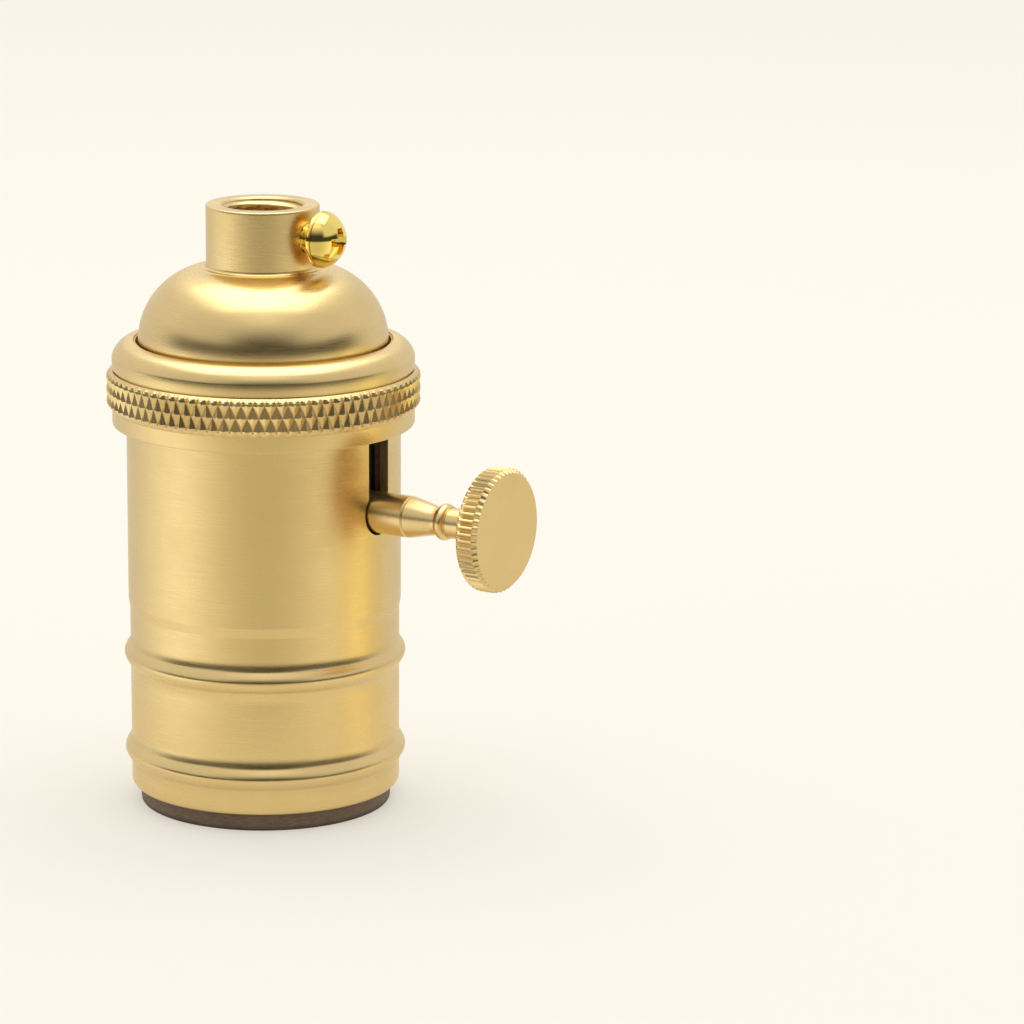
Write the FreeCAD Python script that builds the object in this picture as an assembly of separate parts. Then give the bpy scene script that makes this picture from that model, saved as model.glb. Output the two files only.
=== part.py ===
"""Brass lamp holder with a turn-key switch, standing on its mouth.

Millimetres.  The origin is the centre of the mouth, on the plane that the
holder stands on.  +Z runs up the barrel to the threaded neck, and +X runs out
along the key's spindle.
"""
import FreeCAD
import Part

import math
import os

from FreeCAD import Vector

# ---------------------------------------------------------------- barrel
shell_radius = 17.05
shell_wall = 1.0
shell_foot = 2.2          # how far the fibre liner stands out below the shell
shell_top = 55.6
shell_lip_round = 0.75
collar_growth = 0.2       # the upper barrel is this much larger in radius
collar_low = 25.15
collar_high = 26.4
bead_heights = (6.9, 19.4)
bead_width = 3.0
bead_rise = 0.78
bead_inside_share = 0.8   # the hollow behind a bead is this much of its width and rise

# ---------------------------------------------------------------- key slot
key_height = 39.4
key_slot_width = 4.4
key_hole_radius = 2.9
liner_slot_margin = 0.6   # the liner's slot is wider than the shell's by this, each side

# ---------------------------------------------------------------- liner
liner_gap = 0.15
liner_wall = 0.9

# ---------------------------------------------------------------- lamp thread
lamp_thread_radius = 13.35
screw_shell_sheet = 0.4
screw_shell_mouth = 3.4
screw_shell_head = 4.4    # from the end of the thread up to the roof
screw_shell_step = 1.0    # the shell closes in by this above its thread
screw_shell_throat = 8.9  # inner radius of the flange at the roof
screw_shell_bend = 1.2

# ---------------------------------------------------------------- insulators
insulator_gap = 0.15      # radial room of every insulator in the liner
seat_thickness = 4.0
cover_thickness = 3.0
body_drop = 9.4           # from the spindle's axis down to the switch body's underside
body_flange_thickness = 1.4
body_flange_inset = 0.25  # inside the collar
chamber_half_length = 8.0
chamber_half_width = 7.1
chamber_height = 16.7
chamber_corner = 1.5

# ---------------------------------------------------------------- switch works
spindle_radius = 1.5
spindle_running_gap = 0.08
spindle_tail = 2.8        # length of spindle in its blind bearing
bearing_depth = 3.2
rotor_radius = 5.6
rotor_front = 4.0
rotor_back = -3.4
cam_flat = 4.2            # half width across the square cam
cam_length = 3.2
blade_thickness = 0.6
blade_half_length = 6.1
blade_half_width = 1.8
clip_radius = 2.7
clip_thickness = 0.7
clip_groove_depth = 0.35
spring_sheet = 0.3
spring_width = 3.0
spring_half_length = 6.2
spring_half_crest = 2.8
spring_foot = 1.2
spring_gap = 0.1

# ---------------------------------------------------------------- conductors
strip_sheet = 0.6
strip_width = 4.0
strip_x = -4.0            # all the live strips stand in this plane
line_strip_y = 6.5        # inner face of the two strips beside the rotor
lamp_strip_rise = 5.6     # how far the lamp strip stands above the spindle's axis
neutral_strip_y = 11.5
strip_slot_gap = 0.1
terminal_reach = 5.0
terminal_screw_y = 9.3
terminal_screw_radius = 1.7
terminal_head_radius = 2.9
terminal_head_height = 2.0
terminal_screw_length = 7.0
terminal_hole_margin = 0.5
terminal_slot_width = 0.8
terminal_slot_depth = 0.9
rivet_radius = 0.8
rivet_head_radius = 1.4
rivet_head_height = 0.5
rivet_y = 9.2
strip_foot_margin = 0.6   # a strip's foot goes on past its rivet's head by this
leaf_sheet = 0.4
leaf_half_width = 1.8
leaf_drop = 2.0
leaf_pad = 1.8
leaf_flat = 2.6
contact_tip_radius = 1.3
contact_tip_height = 0.9
contact_tip_gap = 0.05
contact_tip_shoulder = 0.3
contact_tip_collar = 1.12

# ---------------------------------------------------------------- coupling ring
ring_height = 10.65
ring_wall = 1.6           # from the ring's bore to its plain band
ring_edge_chamfer = 0.25
ring_band_height = 2.05   # plain band under the knurl
ring_groove_width = 0.3
ring_groove_depth = 0.35
ring_crown_radius = 2.8
ring_crown_inset = 2.7    # how far inside the band the crown's arc is centred
ring_lip_thickness = 1.3
ring_lip_clearance = 0.3  # round the cap's wall
ring_lip_round = 0.3
ring_lip_gap = 0.1
ring_thread_gap = 0.15
knurl_rise = 0.72         # from the plain band out to the points
knurl_foot_bevel = 0.85
knurl_width = 3.45
knurl_head_bevel = 0.55
knurl_count = 84
knurl_height = 3.16       # of one four-sided point, from corner to corner
knurl_middle = 1.57       # height of the middle row of points above the rim's foot
knurl_depth = 0.42
knurl_land = 0.1          # flat left on every point

# ---------------------------------------------------------------- cap
cap_flange_thickness = 1.2
cap_flange_width = 1.3
cap_wall = 1.0
dome_radius = 9.5
cap_wall_height = 1.2     # upright wall between the flange and the dome
neck_radius = 7.11
neck_cove = 0.8
neck_cove_share = 0.22    # the cove's arc passes this share of its size from its corner
neck_height = 7.8         # above the top of the dome's curve
neck_edge_round = 0.3
nipple_radius = 5.0       # wall of the M10 x 1 mouth
nipple_mouth_chamfer = 0.25

# ---------------------------------------------------------------- set screw
screw_drop = 3.7          # from the neck's top down to the screw's axis
screw_shank_radius = 2.0
screw_hole_gap = 0.05
screw_tip_clearance = 0.3  # from the mouth's wall to the screw's end
screw_stand_off = 1.54    # from the neck to the head's underside
screw_head_radius = 3.57
screw_head_height = 3.1
screw_head_rim = 1.0
screw_head_edge = 0.15
screw_recess_width = 1.1
screw_recess_span = 4.8
screw_recess_depth = 1.7

# ---------------------------------------------------------------- key
key_clearance = 0.35      # from the switch body out to the sleeve
key_length = 20.6
key_sleeve_radius = 2.6
key_sleeve_length = 6.9
key_taper_length = 3.6
key_stem_radius = 1.8
key_waist_length = 0.5
key_bead_length = 1.5
key_bead_radius = 2.3
key_bead_undercut = 0.1
key_fillet_length = 0.3
key_neck_radius = 1.9
key_disc_thickness = 2.75
key_disc_radius = 7.75
key_face_chamfer = 0.55
key_back_chamfer = 0.25
key_serrations = 54
key_serration_depth = 0.42
key_serration_share = 0.84  # of the rim that the grooves take at their open side
key_socket_depth = 6.3
key_socket_room = 0.2     # left in the socket past the spindle's end
key_fit_gap = 0.02

# ---------------------------------------------------------------- levels and radii that follow
collar_radius = shell_radius + collar_growth
liner_outer = shell_radius - shell_wall - liner_gap
liner_inner = liner_outer - liner_wall
insulator_radius = liner_inner - insulator_gap
body_bottom = key_height - body_drop
seat_top = body_bottom - cover_thickness
screw_shell_roof = seat_top - seat_thickness
screw_shell_thread_end = screw_shell_roof - screw_shell_head
chamber_roof = body_bottom + chamber_height
strip_tip = key_height + lamp_strip_rise
body_flange_radius = collar_radius - body_flange_inset
body_top = shell_top + body_flange_thickness
cap_flange_top = body_top + cap_flange_thickness
cap_wall_radius = body_flange_radius - cap_flange_width
dome_centre_radius = cap_wall_radius - dome_radius
dome_centre_height = cap_flange_top + cap_wall_height
neck_top = dome_centre_height + dome_radius + neck_height
screw_height = neck_top - screw_drop
screw_tip = nipple_radius + screw_tip_clearance
screw_head_seat = neck_radius + screw_stand_off
ring_lip_bottom = cap_flange_top + ring_lip_gap
ring_lip_radius = cap_wall_radius + ring_lip_clearance
ring_top = ring_lip_bottom + ring_lip_thickness
ring_bottom = ring_top - ring_height
ring_inner = collar_radius + ring_thread_gap
ring_band_radius = ring_inner + ring_wall
knurl_radius = ring_band_radius + knurl_rise
knurl_low = ring_bottom + ring_band_height + knurl_foot_bevel
knurl_high = knurl_low + knurl_width
ring_groove_height = knurl_high + knurl_head_bevel
key_sleeve_start = insulator_radius + key_clearance
key_sleeve_end = key_sleeve_start + key_sleeve_length
key_taper_end = key_sleeve_end + key_taper_length
key_bead_start = key_taper_end + key_waist_length
key_bead_end = key_bead_start + key_bead_length
key_face = key_sleeve_start + key_length
key_disc_back = key_face - key_disc_thickness

UP = Vector(0, 0, 1)
ORIGIN = Vector(0, 0, 0)


class Outline:
    """A closed outline in the X-Z plane, drawn from point to point."""

    def __init__(self, r, z):
        self.start = Vector(r, 0, z)
        self.pen = self.start
        self.edges = []

    def to(self, *points):
        """Draw straight edges to each (r, z) point in turn."""
        for r, z in points:
            end = Vector(r, 0, z)
            self.edges.append(Part.makeLine(self.pen, end))
            self.pen = end
        return self

    def arc(self, middle, end):
        """Draw an arc through the middle point to the end point."""
        through = Vector(middle[0], 0, middle[1])
        stop = Vector(end[0], 0, end[1])
        self.edges.append(Part.Arc(self.pen, through, stop).toShape())
        self.pen = stop
        return self

    def around(self, centre, end):
        """Draw the short arc about a centre to the end point."""
        hub = Vector(centre[0], 0, centre[1])
        stop = Vector(end[0], 0, end[1])
        spoke = (self.pen - hub).normalize() + (stop - hub).normalize()
        middle = hub + spoke.normalize() * (self.pen - hub).Length
        return self.arc((middle.x, middle.z), end)

    def face(self):
        """Close the outline and fill it."""
        if self.pen.distanceToPoint(self.start) > 1e-7:
            self.to((self.start.x, self.start.z))
        return Part.Face(Part.Wire(self.edges))

    def turned(self):
        """Revolve the filled outline about Z."""
        return self.face().revolve(ORIGIN, UP, 360)

    def extruded(self, y_low, y_high):
        """Push the filled outline along Y between two stations."""
        plate = self.face()
        plate.translate(Vector(0, y_low, 0))
        return plate.extrude(Vector(0, y_high - y_low, 0))


def box(x, y, z):
    """A block between two stations on each axis."""
    corner = Vector(x[0], y[0], z[0])
    return Part.makeBox(x[1] - x[0], y[1] - y[0], z[1] - z[0], corner)


def rod(radius, low, high, x=0.0, y=0.0):
    """An upright cylinder between two heights."""
    return Part.makeCylinder(radius, high - low, Vector(x, y, low), UP)


def key_rod(radius, low, high):
    """A cylinder on the spindle's axis between two stations on X."""
    return Part.makeCylinder(radius, high - low, Vector(low, 0, key_height), Vector(1, 0, 0))


def on_key_axis(shape):
    """Lay a shape made about Z along the spindle's axis, its +Z towards +X."""
    shape.rotate(ORIGIN, Vector(0, 1, 0), 90)
    shape.translate(Vector(0, 0, key_height))
    return shape


def key_slot(width, hole_radius, reach):
    """The upright slot that the spindle drops into, with its round lower end."""
    top = shell_top + 1
    trench = box((0, reach), (-width / 2, width / 2), (key_height, top))
    return trench.fuse(key_rod(hole_radius, 0, reach))


# ---------------------------------------------------------------- barrel
def shell():
    """Spun brass barrel: rounded lip, two beads, a swelled collar and the key slot."""
    half = bead_width / 2
    inner = shell_radius - shell_wall
    low, high = sorted(bead_heights)
    wall = Outline(inner, shell_foot)
    wall.to((shell_radius - shell_lip_round, shell_foot))
    lip_centre = (shell_radius - shell_lip_round, shell_foot + shell_lip_round)
    wall.around(lip_centre, (shell_radius, shell_foot + shell_lip_round))
    for height in (low, high):
        wall.to((shell_radius, height - half))
        wall.arc((shell_radius + bead_rise, height), (shell_radius, height + half))
    wall.to((shell_radius, collar_low), (collar_radius, collar_high), (collar_radius, shell_top))
    wall.to((inner, shell_top))
    half *= bead_inside_share
    for height in (high, low):
        wall.to((inner, height + half))
        wall.arc((inner + bead_rise * bead_inside_share, height), (inner, height - half))
    return wall.turned().cut(key_slot(key_slot_width, key_hole_radius, collar_radius + 1))


def liner():
    """Pressed fibre tube that insulates the barrel and stands out at the mouth."""
    tube = rod(liner_outer, 0, shell_top).cut(rod(liner_inner, -1, shell_top + 1))
    width = key_slot_width + 2 * liner_slot_margin
    return tube.cut(key_slot(width, key_hole_radius + liner_slot_margin, liner_outer + 1))


# ---------------------------------------------------------------- lamp end
def screw_shell():
    """Thin shell that takes the lamp's cap, drawn in above its thread to a flange at its roof."""
    outer = lamp_thread_radius + screw_shell_sheet
    crown = outer - screw_shell_step
    bend = screw_shell_bend
    shoulder = screw_shell_thread_end + screw_shell_step
    ceiling = screw_shell_roof - screw_shell_sheet
    spring = screw_shell_roof - bend
    wall = Outline(lamp_thread_radius, screw_shell_mouth)
    wall.to((outer, screw_shell_mouth), (outer, screw_shell_thread_end), (crown, shoulder), (crown, spring))
    wall.around((crown - bend, spring), (crown - bend, screw_shell_roof))
    wall.to((screw_shell_throat, screw_shell_roof), (screw_shell_throat, ceiling))
    wall.to((crown - bend, ceiling))
    wall.around((crown - bend, spring), (crown - screw_shell_sheet, spring))
    wall.to((crown - screw_shell_sheet, shoulder), (lamp_thread_radius, screw_shell_thread_end))
    return wall.turned().cut(screw_shell_rivet_holes())


def screw_shell_rivet_places():
    """The two rivets of the screw shell's flange, one through the neutral strip."""
    return ((strip_x, -rivet_y), (-strip_x, rivet_y))


def screw_shell_rivet_holes():
    """Holes for the flange rivets, from the flange up through the seat."""
    low, high = screw_shell_roof - 2, seat_top + 1
    holes = [rod(rivet_radius, low, high, x, y) for x, y in screw_shell_rivet_places()]
    return Part.makeCompound(holes)


def rivet(x, y, low, high):
    """A rivet with a flat head at each end of its grip."""
    shank = rod(rivet_radius, low, high, x, y)
    bottom = rod(rivet_head_radius, low - rivet_head_height, low, x, y)
    top = rod(rivet_head_radius, high, high + rivet_head_height, x, y)
    return shank.fuse([bottom, top]).removeSplitter()


def screw_shell_rivets():
    """The two rivets that hold the screw shell under the lamp seat."""
    low = screw_shell_roof - screw_shell_sheet
    high = seat_top - rivet_head_height
    return Part.makeCompound([rivet(x, y, low, high) for x, y in screw_shell_rivet_places()])


def contact_rivet():
    """Rivet through the centre leaf, the lamp seat and the lamp strip's foot."""
    return rivet(strip_x, 0, screw_shell_roof - leaf_sheet, seat_top)


def lamp_seat():
    """Insulating disc that carries the screw shell below and the lamp strip above."""
    disc = rod(insulator_radius, screw_shell_roof, seat_top)
    cuts = [screw_shell_rivet_holes(), rod(rivet_radius, screw_shell_roof - 1, seat_top + 1, strip_x, 0)]
    for x, y in screw_shell_rivet_places():
        cuts.append(rod(rivet_head_radius + strip_slot_gap, seat_top - rivet_head_height, seat_top + 1, x, y))
    cuts.append(swollen(lamp_strip_foot(), strip_slot_gap))
    cuts.append(swollen(neutral_strip_leg(), strip_slot_gap))
    cuts.append(swollen(neutral_strip_foot(), strip_slot_gap, under=True))
    return disc.cut(cuts)


def centre_leaf():
    """Springy strip from its rivet down to the middle of the mouth."""
    top = screw_shell_roof
    left = strip_x - leaf_pad
    bend = strip_x + leaf_pad
    flat = -leaf_flat / 2
    low = top - leaf_drop
    strip = Outline(left, top)
    strip.to((bend, top), (flat, low), (flat + leaf_flat, low), (flat + leaf_flat, low - leaf_sheet))
    strip.to((flat - leaf_sheet / 2, low - leaf_sheet), (bend - leaf_sheet / 2, top - leaf_sheet))
    strip.to((left, top - leaf_sheet))
    plate = strip.extruded(-leaf_half_width, leaf_half_width)
    hole = rod(rivet_radius, top - 1, top + 1, strip_x, 0)
    tip_hole = rod(rivet_radius, low - 1, low + 1)
    return plate.cut([hole, tip_hole])


def contact_tip():
    """Domed button in the leaf's free end, which the lamp presses."""
    low = screw_shell_roof - leaf_drop - leaf_sheet
    top = low + leaf_sheet
    foot = low - contact_tip_height
    shank = rivet_radius - contact_tip_gap
    corner = contact_tip_height - contact_tip_shoulder
    button = Outline(0, foot)
    button.to((contact_tip_radius - corner, foot))
    button.around((contact_tip_radius - corner, foot + corner), (contact_tip_radius, foot + corner))
    button.to((contact_tip_radius, low), (shank, low), (shank, top), (contact_tip_collar, top))
    button.to((contact_tip_collar, top + leaf_sheet), (0, top + leaf_sheet))
    return button.turned()


# ---------------------------------------------------------------- strips and terminals
def strip_span():
    """The strips' two edges on X."""
    return (strip_x - strip_width / 2, strip_x + strip_width / 2)


def strip_plate(y, z):
    """A flat run of strip between two stations on Y and Z."""
    return box(strip_span(), y, z)


def swollen(plate, gap, under=False):
    """The room that a run of strip needs in a moulding, open below where asked."""
    room = plate.BoundBox
    low = room.ZMin - (1 if under else 0)
    high = room.ZMax + (0 if under else 1)
    return box((room.XMin - gap, room.XMax + gap), (room.YMin - gap, room.YMax + gap), (low, high))


def terminal_pad(y_start, side):
    """The top of a strip, bent out over the switch body under its screw."""
    reach = (y_start, y_start + side * terminal_reach)
    pad = strip_plate((min(reach), max(reach)), (body_top, body_top + strip_sheet))
    hole = rod(terminal_screw_radius, body_top - 1, body_top + 2, strip_x, terminal_screw_place(side))
    return pad.cut(hole)


def terminal_screw_place(side):
    """Where a terminal screw stands on Y: +1 is the line side, -1 the neutral."""
    return side * terminal_screw_y


def line_strip_leg():
    """The line strip's drop beside the rotor."""
    y = (line_strip_y, line_strip_y + strip_sheet)
    return strip_plate(y, (key_height - blade_half_width, body_top + strip_sheet))


def line_strip():
    """Strip from the line terminal down to the rotor's blade."""
    return line_strip_leg().fuse(terminal_pad(line_strip_y, 1)).removeSplitter()


def lamp_strip_leg():
    """The lamp strip's rise beside the rotor."""
    y = (-line_strip_y - strip_sheet, -line_strip_y)
    return strip_plate(y, (seat_top - strip_sheet, strip_tip))


def lamp_strip_foot():
    """The lamp strip's foot, sunk in the top of the lamp seat."""
    y = (-line_strip_y - strip_sheet, rivet_head_radius + strip_foot_margin)
    return strip_plate(y, (seat_top - strip_sheet, seat_top))


def lamp_strip():
    """Strip from the rotor's blade down to the centre leaf's rivet."""
    hole = rod(rivet_radius, seat_top - 2, seat_top + 1, strip_x, 0)
    return lamp_strip_leg().fuse(lamp_strip_foot()).removeSplitter().cut(hole)


def neutral_strip_leg():
    """The neutral strip's drop through the insulators."""
    y = (-neutral_strip_y - strip_sheet, -neutral_strip_y)
    return strip_plate(y, (screw_shell_roof, body_top + strip_sheet))


def neutral_strip_foot():
    """The neutral strip's foot, on top of the screw shell's flange."""
    y = (-neutral_strip_y - strip_sheet, -rivet_y + rivet_head_radius + strip_foot_margin)
    return strip_plate(y, (screw_shell_roof, screw_shell_roof + strip_sheet))


def neutral_strip():
    """Strip from the neutral terminal down to the screw shell."""
    start = -neutral_strip_y - strip_sheet
    pad = strip_plate((start, start + terminal_reach), (body_top, body_top + strip_sheet))
    screw_hole = rod(terminal_screw_radius, body_top - 1, body_top + 2, strip_x, terminal_screw_place(-1))
    bar = neutral_strip_leg().fuse([neutral_strip_foot(), pad]).removeSplitter()
    return bar.cut([screw_hole, screw_shell_rivet_holes()])


def terminal_screws():
    """The two binding screws, with slotted cheese heads."""
    seat = body_top + strip_sheet
    screws = []
    for side in (-1, 1):
        y = terminal_screw_place(side)
        shank = rod(terminal_screw_radius, seat - terminal_screw_length, seat, strip_x, y)
        head = rod(terminal_head_radius, seat, seat + terminal_head_height, strip_x, y)
        top = seat + terminal_head_height
        half = terminal_slot_width / 2
        groove = box((strip_x - terminal_head_radius, strip_x + terminal_head_radius),
                     (y - half, y + half), (top - terminal_slot_depth, top + 1))
        screws.append(shank.fuse(head).removeSplitter().cut(groove))
    return Part.makeCompound(screws)


# ---------------------------------------------------------------- switch
def switch_body():
    """Moulded body of the switch: chamber, bearings, strip slots and a top flange."""
    core = rod(insulator_radius, body_bottom, shell_top)
    flange = rod(body_flange_radius, shell_top, body_top)
    body = core.fuse(flange).removeSplitter()
    bearing = spindle_radius + spindle_running_gap
    cuts = [chamber(), key_rod(bearing, chamber_half_length - 1, insulator_radius + 1)]
    cuts.append(key_rod(bearing, -chamber_half_length - bearing_depth, -chamber_half_length + 1))
    for leg in (line_strip_leg(), neutral_strip_leg()):
        cuts.append(through_slot(leg))
    for side in (-1, 1):
        y = terminal_screw_place(side)
        low = body_top + strip_sheet - terminal_screw_length - terminal_hole_margin
        cuts.append(rod(terminal_screw_radius, low, body_top + 1, strip_x, y))
    return body.cut(cuts)


def through_slot(leg):
    """A slot for a strip that leaves the moulding's top, down to the strip's lower end."""
    room = leg.BoundBox
    gap = strip_slot_gap
    low = max(room.ZMin, body_bottom - 1)
    return box((room.XMin - gap, room.XMax + gap), (room.YMin - gap, room.YMax + gap), (low, body_top + 1))


def chamber():
    """The rotor's chamber, open at the bottom of the switch body."""
    block = box((-chamber_half_length, chamber_half_length),
                (-chamber_half_width, chamber_half_width), (body_bottom - 1, chamber_roof))
    upright = [e for e in block.Edges if abs(e.tangentAt(e.FirstParameter).z) > 0.9]
    return block.makeFillet(chamber_corner, upright)


def switch_cover():
    """Plate that closes the chamber and spreads on the lamp seat."""
    disc = rod(insulator_radius, seat_top, body_bottom)
    gap = strip_slot_gap
    span = (strip_span()[0] - gap, strip_span()[1] + gap)
    through = (seat_top - 1, body_bottom + 1)
    lamp_slot = box(span, (-line_strip_y - strip_sheet - gap, -line_strip_y + gap), through)
    neutral_slot = box(span, (-neutral_strip_y - strip_sheet - gap, -neutral_strip_y + gap), through)
    pocket = rod(rivet_head_radius + gap, seat_top - 1, seat_top + rivet_head_height + gap, strip_x, 0)
    return disc.cut([lamp_slot, neutral_slot, pocket])


def rotor():
    """Insulating rotor on the spindle, with a square cam for its quarter-turn clicks."""
    drum = key_rod(rotor_radius, rotor_back, rotor_front - cam_length)
    cam = box((rotor_front - cam_length, rotor_front), (-cam_flat, cam_flat),
              (key_height - cam_flat, key_height + cam_flat))
    along = [e for e in cam.Edges if abs(e.tangentAt(e.FirstParameter).x) > 0.9]
    cam = cam.makeFillet(cam_flat / 4, along)
    bore = key_rod(spindle_radius + key_fit_gap, rotor_back - 1, rotor_front + 1)
    return drum.fuse(cam).removeSplitter().cut(bore)


def bridge_blade():
    """Copper blade on the rotor's end that joins the two strips at every half turn."""
    x = (rotor_back - blade_thickness, rotor_back)
    z = (key_height - blade_half_length, key_height + blade_half_length)
    blade = box(x, (-blade_half_width, blade_half_width), z)
    round_end = key_rod(blade_half_length, x[0] - 1, x[1] + 1)
    bore = key_rod(spindle_radius + key_fit_gap, x[0] - 1, x[1] + 1)
    return blade.common(round_end).cut(bore)


def spindle():
    """Steel spindle from its blind bearing to the key, with a groove for its clip."""
    start = -chamber_half_length - spindle_tail
    end = key_sleeve_start + key_socket_depth - key_socket_room
    bar = key_rod(spindle_radius, start, end)
    low, high = clip_start(), clip_start() + clip_thickness
    core = key_rod(spindle_radius - clip_groove_depth, low, high)
    groove = key_rod(spindle_radius + 1, low, high).cut(core)
    return bar.cut(groove)


def clip_start():
    """The clip lies just inside the chamber's wall."""
    return chamber_half_length - spring_gap - clip_thickness


def spindle_clip():
    """Open spring clip that keeps the spindle from pulling out of the chamber."""
    low, high = clip_start(), clip_start() + clip_thickness
    bore = spindle_radius - clip_groove_depth + key_fit_gap
    ring = key_rod(clip_radius, low, high).cut(key_rod(bore, low - 1, high + 1))
    mouth = box((low - 1, high + 1), (-bore * 0.8, bore * 0.8), (key_height - clip_radius - 1, key_height))
    return ring.cut(mouth)


def detent_spring():
    """Bowed leaf under the square cam that gives the key its clicks."""
    floor = body_bottom
    crest = key_height - cam_flat - spring_gap
    sheet = spring_sheet
    bend = spring_half_length - spring_foot
    slope = math.atan2(crest - sheet - floor, bend - spring_half_crest)
    shift = sheet * math.tan(slope / 2)
    bow = Outline(-spring_half_length, floor)
    bow.to((-bend, floor), (-spring_half_crest, crest - sheet), (spring_half_crest, crest - sheet))
    bow.to((bend, floor), (spring_half_length, floor), (spring_half_length, floor + sheet))
    bow.to((bend + shift, floor + sheet), (spring_half_crest + shift, crest))
    bow.to((-spring_half_crest - shift, crest), (-bend - shift, floor + sheet))
    bow.to((-spring_half_length, floor + sheet))
    leaf = bow.extruded(-spring_width / 2, spring_width / 2)
    leaf.rotate(ORIGIN, UP, 90)
    leaf.translate(Vector(rotor_front - cam_length / 2, 0, 0))
    return leaf


# ---------------------------------------------------------------- key
def key_knob():
    """Turned key: sleeve, taper, bead and a flat disc with a serrated rim."""
    face, back = key_face, key_disc_back
    bead_mid = (key_bead_start + key_bead_end) / 2
    bore = spindle_radius + key_fit_gap
    body = Outline(bore, key_sleeve_start)
    body.to((key_sleeve_radius, key_sleeve_start), (key_sleeve_radius, key_sleeve_end))
    body.to((key_stem_radius, key_taper_end), (key_stem_radius, key_bead_start))
    body.arc((key_bead_radius, bead_mid), (key_neck_radius - key_bead_undercut, key_bead_end))
    body.to((key_neck_radius, key_bead_end + key_fillet_length), (key_neck_radius, back))
    body.to((key_disc_radius - key_back_chamfer, back), (key_disc_radius, back + key_back_chamfer))
    body.to((key_disc_radius, face - key_face_chamfer), (key_disc_radius - key_face_chamfer, face))
    body.to((0, face), (0, key_sleeve_start + key_socket_depth))
    body.to((bore, key_sleeve_start + key_socket_depth))
    return on_key_axis(body.turned().cut(key_serration_cuts()))


def key_serration_cuts():
    """Straight V grooves across the disc's rim."""
    step = 2 * math.pi / key_serrations
    inner = key_disc_radius - key_serration_depth
    outer = key_disc_radius + key_serration_depth
    half = key_serration_share * step * key_disc_radius
    low, high = key_disc_back - 1, key_face + 1
    cuts = []
    for index in range(key_serrations):
        angle = math.degrees(step) * index
        corners = [Vector(inner, 0, low), Vector(outer, half, low), Vector(outer, -half, low)]
        wire = Part.makePolygon(corners + corners[:1])
        groove = Part.Face(wire).extrude(Vector(0, 0, high - low))
        groove.rotate(ORIGIN, UP, angle)
        cuts.append(groove)
    return cuts


# ---------------------------------------------------------------- cap and ring
def cap():
    """Turned cap: flange, domed crown and the threaded neck with its screw hole."""
    inner = cap_wall_radius - cap_wall
    crown = dome_radius - cap_wall
    centre = (dome_centre_radius, dome_centre_height)
    ceiling = dome_centre_height + crown
    cove_start_r = neck_radius + neck_cove
    cove_start_z = dome_centre_height + math.sqrt(dome_radius ** 2 - (cove_start_r - dome_centre_radius) ** 2)
    chamfer = nipple_mouth_chamfer
    wall = Outline(inner, body_top)
    wall.to((body_flange_radius, body_top), (body_flange_radius, cap_flange_top))
    wall.to((cap_wall_radius, cap_flange_top), (cap_wall_radius, dome_centre_height))
    wall.around(centre, (cove_start_r, cove_start_z))
    inset = neck_cove_share * neck_cove
    wall.arc((neck_radius + inset, cove_start_z + inset),
             (neck_radius, cove_start_z + neck_cove))
    wall.to((neck_radius, neck_top - neck_edge_round))
    wall.around((neck_radius - neck_edge_round, neck_top - neck_edge_round),
                (neck_radius - neck_edge_round, neck_top))
    wall.to((nipple_radius + chamfer, neck_top), (nipple_radius, neck_top - chamfer))
    wall.to((nipple_radius, ceiling), (dome_centre_radius, ceiling))
    wall.around(centre, (inner, dome_centre_height))
    hole = Part.makeCylinder(screw_shank_radius + screw_hole_gap, neck_radius + 2,
                             Vector(0, 0, screw_height), Vector(1, 0, 0))
    return wall.turned().cut(hole)


def coupling_ring():
    """Knurled ring that turns on the cap's flange and screws down on the barrel."""
    band, chamfer = ring_band_radius, ring_edge_chamfer
    groove_floor = band - ring_groove_depth
    groove_top = ring_groove_height + ring_groove_width
    crown_centre = (band - ring_crown_inset, ring_top - ring_crown_radius)
    crown_foot = crown_centre[1] + math.sqrt(ring_crown_radius ** 2 - ring_crown_inset ** 2)
    lip_start = ring_lip_radius + ring_lip_round
    body = Outline(ring_inner, ring_bottom)
    body.to((band - chamfer, ring_bottom), (band, ring_bottom + chamfer))
    body.to((band, knurl_low - knurl_foot_bevel), (knurl_radius, knurl_low), (knurl_radius, knurl_high))
    body.to((band, ring_groove_height), (groove_floor, ring_groove_height), (groove_floor, groove_top))
    body.to((band, groove_top), (band, crown_foot))
    body.around(crown_centre, (crown_centre[0], ring_top))
    if lip_start < crown_centre[0]:
        body.to((lip_start, ring_top))
    body.around((lip_start, ring_top - ring_lip_round), (ring_lip_radius, ring_top - ring_lip_round))
    body.to((ring_lip_radius, ring_lip_bottom), (ring_inner, ring_lip_bottom))
    return body.turned().cut(knurl_grooves(1)).cut(knurl_grooves(-1))


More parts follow.
